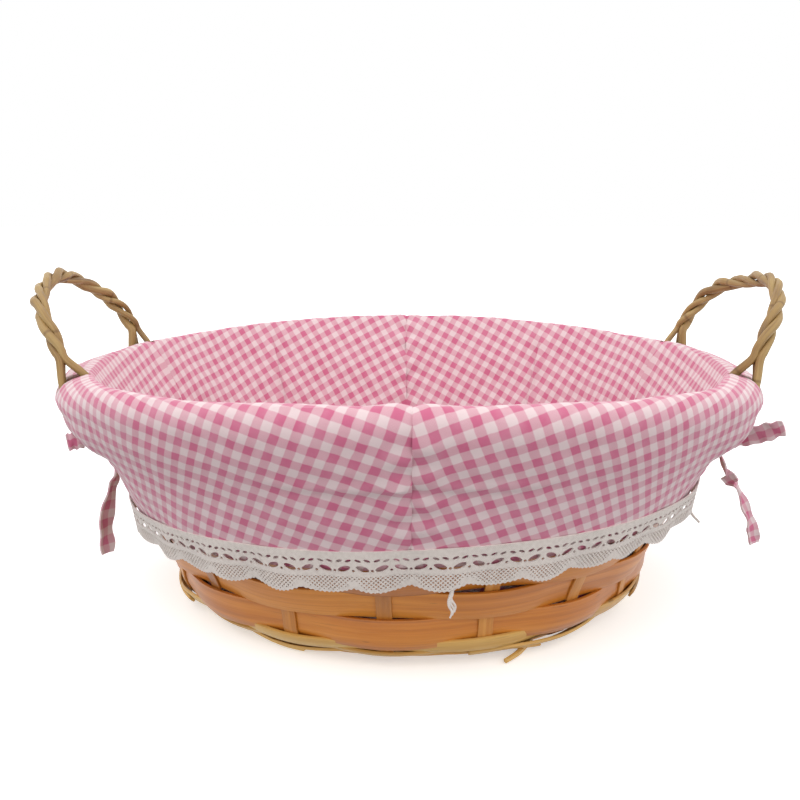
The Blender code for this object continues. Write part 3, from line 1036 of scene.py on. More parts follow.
        def pattern(along: float, across: float) -> tuple[float, float]:
            """The grain's place."""
            return 2 * along * reach + index * 0.53, across * self.rib_width + index * 0.71

        piece = bent_grid(f"stake_{index + 1}", 160, 2, place, pattern)
        thicken(piece, self.rib_thickness * self.shrink, 0.00015)
        return piece

    def edge_lengths(self, index: int) -> bpy.types.Object:
        """One edge split: two cut lengths that wander along the foot and lap at their ends.

        Args:
            index: Its number, from 0 at the foot.

        Returns:
            The lengths as one object.
        """
        base = WALL.foot_radius + (self.edge_width + self.piece_gap) * index + self.piece_gap
        swing = self.swing
        side = 1 if index % 2 else -1
        pieces = []
        for number, (first, last, low, high) in enumerate(EDGE_CUTS[index]):
            seed = index * 2.3 + number * 5.1

            def place(along: float, up: float) -> Vector:
                """A point of the split's middle.

                Args:
                    along: Share of the length.
                    up: Share of the width.

                Returns:
                    The point.
                """
                angle = first + (last - first) * along
                wave = math.cos((angle - WALL.stake_start) / WALL.stake_step * math.pi)
                drift = low + (high - low) * along + self.edge_drift * ripple(angle * 2.5, seed)
                drift += self.edge_spread
                wide = 1.45 - 0.85 * (bell(along, 0.03) + bell(1 - along, 0.03))
                stretch = base + self.edge_width * (0.5 + wide * (up - 0.5)) + drift
                lift = self.edge_lift * (bell(along, 0.09) + bell(1 - along, 0.09)) + self.edge_lap * number
                bent = 0.8 * side * swing * wave + lift + 0.0004 * ripple(angle * 4, up, seed)
                point = WALL.point(angle, stretch, bent)
                point.z = max(point.z, self.least_height)
                return point

            def pattern(along: float, up: float) -> tuple[float, float]:
                """The grain's place."""
                return (first + (last - first) * along) * WALL.foot_radius + seed, up * self.edge_width + seed

            columns = round((last - first) / WALL.stake_step * 10)
            piece = bent_grid(f"length_{index}_{number}", columns, 3, place, pattern)
            thicken(piece, self.weaver_thickness * 0.9, 0.0002)
            pieces.append(piece)
        if index == self.edge_splits - 1:
            stub = route_of(STUB, 12)
            pieces.append(tube_piece("stub", stub, lambda share: 0.0013 - 0.0003 * share, 6, 0.4))
        return joined(pieces, f"edge_lengths_{index + 1}")

    def build(self) -> None:
        """Makes and dresses all the wood."""
        honey, pale, stake, hoop = (finish.material() for finish in (HONEY, PALE, STAKE, HOOP))
        for index in range(self.wall_rows):
            start = self.rows_start + self.row_pitch * index + self.piece_gap
            end = start + self.row_pitch - self.piece_gap
            row = self.woven(f"row_{index + 1}", start, end, 1 - 2 * (index % 2), index + 0.5, 0.00035)
            settle(row, honey, Slot.HONEY, [f"wall_row_{index + 1}"])
        base_end = WALL.foot_radius - self.foot_hoop_width - self.piece_gap
        pitch = (base_end - self.eye_radius) / self.base_rounds
        for index in range(self.base_rounds):
            start = self.eye_radius + pitch * index
            end = start + pitch - self.piece_gap
            base = self.woven(f"round_{index + 1}", start, end, 1 - 2 * (index % 2), index + 20.5, 0.0002)
            settle(base, honey, Slot.HONEY, [f"base_round_{index + 1}"])
        for index in range(self.edge_splits):
            settle(self.edge_lengths(index), pale, Slot.PALE, [f"edge_split_{index + 1}"])
        for index in range(WALL.stakes // 2):
            settle(self.rib(index), stake, Slot.RIB, [f"rib_{index + 1}"])
        under = self.rib_thickness / 2 + self.piece_gap
        low = WALL.base_height - 0.0001
        start = base_end + self.piece_gap
        foot = self.hoop("hoop_foot", start, WALL.foot_radius, (under + low) / 2, low - under, 0.2)
        settle(foot, hoop, Slot.HOOP, ["foot_hoop"])
        offset = self.rib_thickness / 2 + self.piece_gap + self.hoop_thickness / 2
        for label, way in (("outer", 1), ("inner", -1)):
            start = WALL.rim_top - self.hoop_height
            name = f"hoop_rim_{label}"
            ring = self.hoop(name, start, WALL.rim_top, way * offset, self.hoop_thickness, 0.5 * way)
            settle(ring, hoop, Slot.HOOP, [f"rim_hoop_{label}"])


# The ears


@dataclass
class Ear:
    """A handle of three thin rods twisted together, whose feet go down the two sides of the rim."""

    side: int
    label: str
    foot_angle: float = math.radians(20.5)
    reach: float = 0.0155
    rise: float = 0.0320
    lean: float = 0.004
    root: float = 0.022
    neck: float = 0.011
    turns: float = 3
    rod: float = 0.003
    gap: float = 0.0003
    hoop_reach: float = 0.0029
    steps: int = 36
    foot_spread: float = 0.62
    foot_rise: float = 0.0012
    sag: float = 0.0022
    tightest: float = 0.72

    @property
    def rod_offset(self) -> float:
        """The stand-off of a rod's middle beside the hoops."""
        return self.hoop_reach + self.gap + self.rod / 2

    def middle(self, share: float) -> Vector:
        """A point of the twist's middle.

        Args:
            share: From 0 at the front foot to 1 at the back foot.

        Returns:
            The point.
        """
        front = WALL.point(self.side * (math.pi / 2 - self.foot_angle), WALL.rim_top + self.neck, 0)
        bend = math.sin(math.pi * share)
        start = abs(front.x)
        out = start + (WALL.rim_radius + self.reach - start) * bend**1.15
        up = front.z + (WALL.rim_height + self.rise - front.z) * bend**0.85
        return Vector((self.side * out, front.y * math.cos(math.pi * share) + self.lean * bend, up))

    def foot(self, end: int, strand: int) -> list[Vector]:
        """A strand's run at a foot.

        Args:
            end: 1 for the front foot, -1 for the back foot.
            strand: The strand's number, of which 2 runs inside the rim.

        Returns:
            Points from the strand's tip up past the rim.
        """
        middle = self.side * (math.pi / 2 - end * self.foot_angle)
        inside = strand == 2
        way = (1, -1, 0)[strand]
        spread = way * self.foot_spread * (self.rod + self.gap)
        angle = middle + self.side * spread / WALL.rim_radius
        offset = -self.rod_offset if inside else self.rod_offset
        rises = (-self.root, -self.root / 2, self.foot_rise)
        return [WALL.point(angle, WALL.rim_top + rise, offset) for rise in rises]

    def route(self, strand: int) -> list[Vector]:
        """The whole smooth route of one strand.

        Args:
            strand: The strand's number.

        Returns:
            Points along its middle, from the front foot to the back foot.
        """
        start = (math.pi / 3, -math.pi / 3, math.pi)[strand]
        radius = (self.rod + self.gap) / math.sqrt(3)
        twist = []
        for step in range(self.steps + 1):
            share = step / self.steps
            here = self.middle(share)
            tangent = (self.middle(min(share + 0.01, 1)) - self.middle(max(share - 0.01, 0))).normalized()
            outward = Vector((self.side, 0, 0))
            outward = (outward - tangent * outward.dot(tangent)).normalized()
            level = tangent.cross(outward) * self.side
            loose = 0.94 + 0.45 * ripple(share * 6, self.side * 3.3)
            loose = max(loose + 0.40 * ripple(share * 9, strand * 5.1, self.side), self.tightest)
            turn = start + math.tau * self.turns * share + 0.8 * ripple(share * 4, self.side * 9.1, 2)
            drift = Vector((0, 0, self.sag * ripple(share * 4, 4.4, self.side) * math.sin(math.pi * share)))
            twist.append(here + drift + radius * loose * (math.cos(turn) * outward + math.sin(turn) * level))
        other = strand if strand == 2 else 1 - strand
        return smooth_route([*self.foot(1, strand), *twist, *reversed(self.foot(-1, other))], 220)

    def thickness(self, strand: int) -> Callable[[float], float]:
        """Gives the radius along a strand, with its taper and its knots."""

        def radius(share: float) -> float:
            """The radius at a share of the length."""
            knots = sum(bell((share - place) * 200, 2.4) for place in self.knots(strand))
            taper = (1.12, 0.92, 1.0)[strand] - 0.22 * (share - 0.45) * (1 if strand else -1)
            return self.rod / 2 * (taper + 0.12 * ripple(share * 19, strand * 3.7, self.side) + 0.16 * knots)

        return radius

    def knots(self, strand: int) -> tuple[float, ...]:
        """Shares of a strand's length at which it has a joint."""
        shift = 0.07 * strand + 0.03 * self.side
        return tuple(0.12 + shift + 0.19 * index for index in range(4))

    def build(self, material: bpy.types.Material) -> None:
        """Makes and dresses the three rods."""
        for strand in range(3):
            mark = strand * 0.31 + self.side * 0.13 + 1
            name = f"rod_{self.label}_{strand + 1}"
            piece = tube_piece(name, self.route(strand), self.thickness(strand), 12, mark)
            settle(piece, material, Slot.WILLOW, [f"ear_{self.label}_rod_{strand + 1}"])


# The cloth liner


@dataclass
class LinerShape:
    """Where the liner runs: up inside the wall, over the rim, and down outside to its hem."""

    plain: float = 0.00339
    near_hoop: float = 0.0041
    near_rods: float = 0.0074
    swell_inner: float = math.radians(25)
    swell_outer: float = math.radians(42)
    crest_rise: float = 0.0034
    crest_drop: float = 0.0060
    hem_height: float = 0.0525
    hem_tilt: float = 0.0045
    foot_angle: float = math.radians(20.5)
    flap_end: float = math.radians(9)
    under_lace: float = 0.0078
    inner_rows: int = 64
    outer_rows: int = 38

    def swell(self, angle: float) -> float:
        """1 beside the ears' feet, 0 away from them."""
        return ramp(from_end(angle), self.swell_outer, self.swell_inner)

    def hem_along(self, angle: float) -> float:
        """The hem's distance along the ribs."""
        return WALL.along_at(self.hem_height + self.hem_tilt * math.sin(angle))

    def hem_offset(self, angle: float) -> float:
        """How far the hem stands off the ribs' middle."""
        return 0.0042 + 0.0006 * self.swell(angle)

    def controls(self, angle: float) -> tuple[list[Vector], list[Vector]]:
        """Points that the sheet's section goes through.

        Args:
            angle: Where round the basket.

        Returns:
            The points from the base to the crest, and from the crest to the hem, as (radius, height, 0).
        """
        swell = self.swell(angle)
        near = self.near_hoop + (self.near_rods - self.near_hoop) * swell
        tied = ramp(from_end(angle), math.radians(42), math.radians(24))
        top = WALL.rim_top
        corner = WALL.foot_radius
        length = WALL.flare_start - corner
        inner = [(corner - 0.003, -self.plain)]
        inner += [(corner + length * share, -self.plain - 0.0003) for share in (0.2, 0.4, 0.6, 0.8)]
        inner += [(WALL.flare_start, -self.plain - 0.0004), (WALL.wall_start, -self.plain - 0.0005)]
        inner += [(top - 0.060, -self.plain - 0.0008), (top - 0.044, -(self.plain + near) / 2 - 0.0008)]
        inner += [(top - 0.028, -near - 0.0006), (top - 0.014, -near - 0.0003), (top - 0.003, -near)]
        rise = self.crest_rise
        crest = [(top + 0.0003 + rise * math.sin(turn), -near * math.cos(turn)) for turn in (0.45, 0.95)]
        low, out = self.crest_drop, near + 0.0019
        high = low + 0.0003 + rise
        over = [(top - low + high * math.cos(turn), out * math.sin(turn)) for turn in (0.45, 0.9, 1.3)]
        outer = [(top - low - 0.0015, out), (top - 0.0135, near + 0.0020 + 0.0004 * tied)]
        outer += [(top - 0.0222, near + 0.0010 - 0.0008 * tied)]
        outer += [(top - 0.0315 + 0.0038 * tied, near + 0.0001 + (0.0030 - near) * tied)]
        hem = self.hem_along(angle)
        outer += [(hem + 0.006, 0.0040 - 0.0006 * tied), (hem - self.under_lace, 0.0034)]
        summit = (top + 0.0003 + rise, 0.0)

        def flat(pairs: list[tuple[float, float]]) -> list[Vector]:
            """The pairs as points of the section."""
            return [Vector((*WALL.section(*pair), 0)) for pair in pairs]

        return flat([*inner, *crest, summit]), flat([summit, *over, *outer])

    def profile(self, angle: float) -> list[tuple[float, float, float]]:
        """The sheet's section.

        Args:
            angle: Where round the basket.

        Returns:
            The radius, the height and the distance past the crest for each row.
        """
        inner, outer = self.controls(angle)
        result: list[tuple[float, float, float]] = []
        for points, rows, way in ((inner, self.inner_rows, -1), (outer, self.outer_rows, 1)):
            dense = smooth_route(points, 160)
            lengths = [0.0]
            for before, after in zip(dense, dense[1:]):
                lengths.append(lengths[-1] + (after - before).length)
            total = lengths[-1]
            index = 0
            first = 0 if way < 0 else 1
            for row in range(first, rows + 1):
                wanted = total * row / rows
                while index < len(dense) - 2 and lengths[index + 1] < wanted:
                    index += 1
                share = (wanted - lengths[index]) / (lengths[index + 1] - lengths[index])
                here = dense[index].lerp(dense[index + 1], min(share, 1.0))
                result.append((here.x, here.y, wanted - total if way < 0 else wanted))
        return result


@dataclass(frozen=True)
class Cut:
    """How one half of the liner was cut: where each place of the hung cloth lay in the flat cloth."""

    grain: float = math.radians(20)
    turn: float = 0.85
    swing: float = 0.05
    rim: float = 0.1385
    flare: float = 0.31
    steps: int = 720

    def direction(self, around: float) -> float:
        """How far the flat cloth's level has turned, at an angle from the front seam."""
        return self.turn * around / math.pi - self.swing * math.sin(2 * around)

    @cached_property
    def rim_line(self) -> list[tuple[float, float]]:
        """The rim's line in the flat cloth, at even steps from the front seam to the back seam."""
        line = [(0.0, 0.0)]
        step = math.pi / self.steps
        for index in range(self.steps):
            turn = self.direction((index + 0.5) * step)
            x, y = line[-1]
            line.append((x + self.rim * step * math.cos(turn), y - self.rim * step * math.sin(turn)))
        return line

    def place(self, around: float, past: float, radius: float) -> tuple[float, float]:
        """Where a place of the hung cloth lay in the flat cloth, along and across its threads.

        Args:
            around: Angle from the front seam, 0 to pi.
            past: Distance past the crest: negative inside the basket.
            radius: The place's distance from the basket's axis.

        Returns:
            The two distances, in metres.
        """
        from_seam = min(around, math.pi - around)
        share = from_seam / (math.pi / 2)
        dense = radius / (self.rim + self.flare * past)
        moved = math.pi / 2 * (dense * share + (1 - dense) * share**4)
        if around > math.pi / 2:
            moved = math.pi - moved
        step = min(max(moved / math.pi * self.steps, 0), self.steps - 0.001)
        index = int(step)
        (x0, y0), (x1, y1) = self.rim_line[index], self.rim_line[index + 1]
        part = step - index
        turn = self.direction(moved)
        x = x0 + (x1 - x0) * part + past * math.sin(turn)
        y = y0 + (y1 - y0) * part + past * math.cos(turn)
        grain = self.grain
        return x * math.cos(grain) - y * math.sin(grain), x * math.sin(grain) + y * math.cos(grain)


@dataclass
class Liner:
    """The gingham liner: two halves over the rim, and a round bottom."""

    shape: LinerShape
    cut: Cut
    columns: int = 256
    thickness: float = 0.0007
    tuck_angle: float = math.radians(35)
    slot_half: float = math.radians(1.7)
    deepest: float = -0.85

    def stand_off(self, angle: float, radius: float, past: float) -> float:
        """The cloth's folds and puckers, with sizes in millimetres.

        Args:
            angle: Where round the basket.
            radius: The place's distance from the basket's axis.
            past: Distance past the crest: negative inside the basket.

        Returns:
            How far the cloth stands away from its section, in metres.
        """
        around = abs(math.remainder(angle, math.tau))
        mm = past / MM
        arc = around * radius / MM
        seam = min(around, math.pi - around) * radius / MM
        ends = math.degrees(from_end(angle))
        side = 1.0 if angle > 0 else -1.0
        lift = 0.9 * ripple(arc / 44, mm / 60, side) + 0.5 * ripple(arc / 15, mm / 17, side * 3)
        lift += 0.18 * ripple(arc / 6, mm / 4, side * 7)
        lift += 0.6 * bell(seam - 4.5, 3.5) - 0.4 * bell(seam, 1.5)
        lift += 0.6 * math.sin(mm / 1.75 + side) * bell(seam - 3, 6) * ramp(abs(mm), 3, 12)
        if mm > 0:
            gather = ramp(ends, 38, 14) * ramp(mm, 8, 34)
            fold = 0.5 + 0.5 * math.sin(ends * 1.42 + mm * 0.06 + 1.3 * ripple(arc / 20, mm / 15, 5 * side))
            lift += 2.3 * gather * fold * (1 - 0.7 * bell(mm - 34, 7)) * (1 - 0.6 * ramp(mm, 42, 50))
            puff = bell(ends, 17) * bell(mm - 13, 9)
            lift += 1.6 * puff + 0.8 * puff * math.sin(mm * 0.55 + ends * 0.1)
            crease = bell(mm - 26 - 2 * math.sin(arc / 17), 1.7)
            crease -= 0.7 * bell(mm - 30 - 1.5 * math.sin(arc / 13), 2.2)
            lift += 0.8 * crease * bell(arc - 22, 26) * ramp(around, 1.2, 0.9)
            roll = 0.5 * ripple(arc / 30, 0.5, side * 11)
            lift += roll * ramp(mm, 18, 4)
            if lift > 0:
                lift *= 1 - 0.55 * ramp(mm, 44, 51)
            lift *= 1 - 0.8 * ramp(ends, 40, 26) * bell(mm - 37, 6)
        else:
            depth = -mm
            for place, width in ((math.pi - self.tuck_angle, 1.5), (math.pi - 2.0 * self.tuck_angle, 1.1)):
                near = (around - place) * radius / MM + 0.04 * depth
                lift += (2.2 * bell(near, width) - 1.1 * bell(near - 2.6, 1.6)) * ramp(depth, 6, 18)
            near = (around - math.radians(38)) * radius / MM
            lift += (2.0 * bell(near, 1.5) - 1.0 * bell(near + 2.6, 1.6)) * ramp(depth, 6, 18)
            lift += 0.8 * math.sin(math.degrees(around) * 0.72) * ramp(depth, 50, 105)
            lift += 0.7 * ripple(arc / 18, mm / 45, side * 13) * ramp(depth, 10, 40)
        return max(lift, self.deepest) * MM

    def column_angle(self, angle: float, past: float) -> float:
        """Moves a column sideways, so that it follows the edge of a slot or of a flap.

        Args:
            angle: The column's angle.
            past: Distance past the crest: negative inside the basket.

        Returns:
            The angle of the column there.
        """
        side = math.copysign(1.0, angle)
        ear = side * math.pi / 2
        off = angle - ear
        far, way = abs(off), math.copysign(1.0, off)
        mm = past / MM
        slot = self.shape.foot_angle
        open_share = math.sqrt(max(0.0, 1 - ((mm - 1.0) / 8.5) ** 2))
        half = self.slot_half * max(open_share, 0.12)
        near = far - slot
        reach = math.radians(7)
        if abs(near) < reach:
            size = abs(near)
            if size <= self.slot_half:
                moved = size / self.slot_half * half
            else:
                moved = half + (size - self.slot_half) * (reach - half) / (reach - self.slot_half)
            far = slot + math.copysign(moved, near)
        end = self.shape.flap_end
        if mm > 10 and end <= abs(off) < slot - reach:
            tied = bell(mm - 31, 8)
            wide = ramp(mm, 34, 50)
            target = end + math.radians(-3.2 * tied + 4.0 * wide)
            share = (abs(off) - end) / (slot - reach - end)
            far = target + share * (slot - reach - target)
        return ear + way * far

    def lines(self) -> list[float]:
        """Angles of the columns of the right half, with lines on the slots' and the flaps' edges."""
        seam = 0.00004 / WALL.foot_radius
        slot = self.shape.foot_angle
        edges = (self.shape.flap_end, slot - self.slot_half, slot + self.slot_half)
        lines = [seam + (math.pi - 2 * seam) * step / self.columns for step in range(self.columns + 1)]
        for mark in (math.pi / 2 + way * edge for way in (-1, 1) for edge in edges):
            nearest = min(range(len(lines)), key=lambda index: abs(lines[index] - mark))
            lines[nearest] = mark
        return lines

    def keep(self, angle: float, past: float) -> bool:
        """Tells cloth from its openings.

        Args:
            angle: Where round the basket.
            past: Distance past the crest: negative inside the basket.

        Returns:
            False in a slot where a foot comes through, and between the ends of the two flaps.
        """
        ends = from_end(angle)
        mm = past / MM
        in_slot = abs(ends - self.shape.foot_angle) < self.slot_half and -7.5 < mm < 9.5
        return not in_slot and not (ends < self.shape.flap_end and mm > 13)

    def half(self, which: Half, material: bpy.types.Material) -> None:
        """Makes and dresses one half.

        Args:
            which: The half.
            material: Its finish.
        """
        sign = which.value
        lines = self.lines()
        rows = self.shape.inner_rows + self.shape.outer_rows
        profiles = [self.shape.profile(sign * line) for line in lines]
        where: dict[tuple[int, int], Vector] = {}
        marks: dict[tuple[int, int], tuple[float, float]] = {}
        for column, line in enumerate(lines):
            profile = profiles[column]
            for row, (radius, height, past) in enumerate(profile):
                before, after = profile[max(row - 1, 0)], profile[min(row + 1, rows)]
                run, rise = after[0] - before[0], after[1] - before[1]
                size = math.hypot(run, rise)
                angle = self.column_angle(sign * line, past)
                lift = self.stand_off(angle, radius, past)
                outward = (radius - lift * rise / size, height + lift * run / size)
                where[column, row] = WALL.settled(angle, *outward)
                marks[column, row] = self.cut.place(abs(angle), past, radius)

        def place(across: float, up: float) -> Vector:
            """A point of the half."""
            return where[round(across * self.columns), round(up * rows)]

        def pattern(across: float, up: float) -> tuple[float, float]:
            """Where the point lay in the flat cloth."""
            return marks[round(across * self.columns), round(up * rows)]

        label = which.name.lower()
        piece = bent_grid(f"liner_half_{label}", self.columns, rows, place, pattern)
        size = self.columns + 1
        drop = []
        for face in piece.data.polygons:
            corners = [divmod(index, size) for index in face.vertices]
            column, row = min(corner[1] for corner in corners), min(corner[0] for corner in corners)
            middle = (lines[column] + lines[column + 1]) / 2
            past = (profiles[column][row][2] + profiles[column][row + 1][2]) / 2
            if not self.keep(sign * middle, past):
                drop.append(face.index)
        cut_out(piece, drop)
        thicken(piece, self.thickness)
        nodes = [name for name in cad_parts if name.startswith("liner_") and name.endswith(label)]
        settle(piece, material, Slot.GINGHAM, nodes)

    def bottom(self, material: bpy.types.Material) -> None:
        """Makes and dresses the round bottom, which sags over the stack of ribs.

        Args:
            material: Its finish.
        """
        outer = WALL.foot_radius - 0.0030
        flat, raised = 0.0069, 0.0142

        def place(around: float, out: float) -> Vector:
            """A point of the bottom.

            Args:
                around: Share of a turn.
                out: Share of the radius.

            Returns:
                The point.
            """
            turn = around * math.tau
            radius = outer * out
            share = ramp(radius, 0.036, 0.014)
            lift = 0.0006 * ripple(radius * 40 * math.cos(turn), radius * 40 * math.sin(turn), 3)
            lift += 0.0005 * math.sin(turn * 31) * ramp(radius, outer - 0.012, outer)
            height = flat + (raised - flat) * share + max(lift, -0.0003) * ramp(radius, 0.004, 0.02)
            return WALL.settled(turn, radius, height)

        def pattern(around: float, out: float) -> tuple[float, float]:
            """Where the point lay in the flat cloth."""
            turn = around * math.tau
            return outer * out * math.sin(turn), outer * out * math.cos(turn)

        piece = bent_grid("liner_floor", 180, 40, place, pattern)
        merge(piece)
        thicken(piece, self.thickness)
        settle(piece, material, Slot.GINGHAM, ["liner_bottom"])

    def build(self, material: bpy.types.Material) -> None:
        """Makes the two halves and the bottom."""
        for which in Half:
            self.half(which, material)
        self.bottom(material)


# The lace


# The long eyelets of one repeat of the lace: middle, distance down, half length and half height.
EYELETS = (
    (-0.24, 0.0034, 0.00110, 0.00058),
    (0.24, 0.0034, 0.00110, 0.00058),
    (0.0, 0.0064, 0.00215, 0.00115),
)


@dataclass
class Lace:
    """A crocheted lace strip sewn under a flap's hem: eyelets above, a mesh ground and scallops below."""

    label: str
    middle: float
    shape: LinerShape
    width: float = 0.0158
    scallop: float = 0.0185
    depth: float = 0.0022
    droop: float = 0.0025
    shorter: float = 0.28
    gather_start: float = math.radians(55)
    gather_end: float = math.radians(20)
    thickness: float = 0.0005
    cell: float = 0.00036
    mesh: float = 0.00155
    mesh_start: float = 0.0092
    dot: float = 0.00055
    dot_row: float = 0.0071
    picot: float = 0.0016
    hem_cover: float = 0.0008

    @property
    def half(self) -> float:
        """Half of the angle that the strip covers."""
        return math.pi / 2 - self.shape.flap_end

    @property
    def radius(self) -> float:
        """The hem's radius at the front."""
        return WALL.section(self.shape.hem_along(0), self.shape.hem_offset(0))[0]

    @property
    def length(self) -> float:
        """The strip's length."""
        return 2 * self.half * self.radius

    @property
    def scallops(self) -> int:
        """How many scallops the strip has."""
        return round(self.length / self.scallop)

    def edge(self, along: float) -> float:
        """The strip's width, with its scallops and its picots.

        Args:
            along: Distance from the strip's end.

        Returns:
            The width there.
        """
        share = along / self.length * self.scallops
        bow = abs(math.sin(math.pi * share))
        return self.width - self.depth * (1 - bow) + 0.00022 * math.sin(math.tau * along / self.picot)

    def solid(self, along: float, down: float) -> float:
        """Over 0 on thread, under 0 in a hole.

        Args:
            along: Distance from the strip's end.
            down: Distance below the hem.

        Returns:
            Roughly the distance to the nearest edge, in metres.
        """
        share = along / self.length * self.scallops
        edge = self.edge(along)
        result = min(edge - down, down + self.hem_cover)
        wide = self.length / self.scallops / 3
        slant = 0.30 if (along / wide) % 2 < 1 else -0.30
        lens = (along / wide) % 1 - 0.5
        for middle, low, long, tall in EYELETS:
            off = (lens - middle) * wide
            result = min(result, (math.hypot(off / long, (down - low - slant * off) / tall) - 1) * tall)
        off = (((along / wide + 0.5) % 1) - 0.5) * wide
        result = min(result, (math.hypot(off / self.dot, (down - self.dot_row) / self.dot) - 1) * self.dot)
        if down > self.mesh_start:
            first = ((along + down) / self.mesh) % 1 - 0.5
            second = ((along - down) / self.mesh) % 1 - 0.5
            from_cusp = 0.5 - abs((share % 1) - 0.5)
            fan = ramp(down, 0.0095, 0.0125) * bell(from_cusp, 0.13)
            fill = min(1.0, bell(edge - down, 0.0010) + 0.85 * fan)
            size = 0.335 - 0.30 * fill
            result = min(result, (max(abs(first), abs(second)) - size) * self.mesh * 0.7)
        return result

    def place(self, along: float, down: float) -> Vector:
        """A point of the hung strip.

        Args:
            along: Distance from the strip's end.
            down: Distance below the hem.

        Returns:
            The point.
        """
        angle = self.middle - self.half + along / self.radius
        hem = self.shape.hem_along(angle) + 0.0012 + 0.0005 * ripple(along * 30, 9.5, self.middle)
        share = down / self.width
        wave = 0.0008 * math.sin(along / 0.0046 + 1.5 * ripple(along * 22, 1.5, self.middle))
        wave += 0.0010 * ripple(along * 35, 2.5, self.middle)
        short = 1 - self.shorter * ramp(from_end(angle), self.gather_start, self.gather_end)
        offset = self.shape.hem_offset(angle) + 0.0002 + self.droop * share + wave * share
        return WALL.point(angle, hem - down * short, offset)

    def outline(self) -> tuple[list[tuple[float, float]], list[list[int]]]:
        """Cuts the pattern into faces, whose edges follow the holes.

        Returns:
            The corners as places on the strip, and the faces as lists of corners.
        """
        across = round(self.length / self.cell)
        high = math.ceil((self.width + self.hem_cover) / self.cell)
        grid = [(self.length * index / across, 0.0) for index in range(across + 1)]
        values = [[self.solid(along, row * self.cell) for row in range(high + 1)] for along, _ in grid]
        corners: list[tuple[float, float]] = []
        known: dict[tuple[int, int, int], int] = {}

        def corner(column: int, row: int) -> int:
            """The number of a grid point."""
            key = (column, row, 0)
            if key not in known:
                known[key] = len(corners)
                corners.append((grid[column][0], row * self.cell))
            return known[key]

        def crossing(first: tuple[int, int], second: tuple[int, int]) -> int:
            """The number of the point where an edge of the grid meets the outline.

            Args:
                first: The edge's one end, as column and row.
                second: Its other end.

            Returns:
                The point's number.
            """
            first, second = min(first, second), max(first, second)
            key = (*first, 1 if second[0] > first[0] else 2)
            if key not in known:
                start, end = values[first[0]][first[1]], values[second[0]][second[1]]
                share = min(max(start / (start - end), 0.08), 0.92)
                known[key] = len(corners)
                along = grid[first[0]][0] + (grid[second[0]][0] - grid[first[0]][0]) * share
                corners.append((along, (first[1] + (second[1] - first[1]) * share) * self.cell))
            return known[key]

        faces = []
        for column in range(across):
            for row in range(high):
                ring = [(column, row), (column + 1, row), (column + 1, row + 1), (column, row + 1)]
                face = []
                for index, here in enumerate(ring):
                    there = ring[(index + 1) % 4]
                    inside = values[here[0]][here[1]] > 0
                    if inside:
                        face.append(corner(*here))
                    if inside != (values[there[0]][there[1]] > 0):
                        face.append(crossing(here, there))
                if len(face) > 2:
                    faces.append(face)
        return corners, faces

    def build(self, material: bpy.types.Material) -> None:
        """Makes and dresses the strip.

        Args:
            material: Its finish.
        """
        corners, faces = self.outline()
        shape = bmesh.new()
        points = [shape.verts.new(self.place(*corner)) for corner in corners]
        layer = shape.loops.layers.uv.new("lace")
        for face in faces:
            made = shape.faces.new([points[index] for index in face])
            for loop, index in zip(made.loops, face):
                loop[layer].uv = corners[index]
        mesh = bpy.data.meshes.new(f"lace_strip_{self.label}")
        shape.to_mesh(mesh)
        shape.free()
        piece = bpy.data.objects.new(mesh.name, mesh)
        bpy.context.collection.objects.link(piece)
        area = sum(face.area for face in mesh.polygons)
        thicken(piece, self.thickness)
        settle(piece, material, Slot.LACE, [f"lace_{self.label}"])
        self.length
        max(area, 0.31 * self.width * self.length)


# The ties and the loose threads


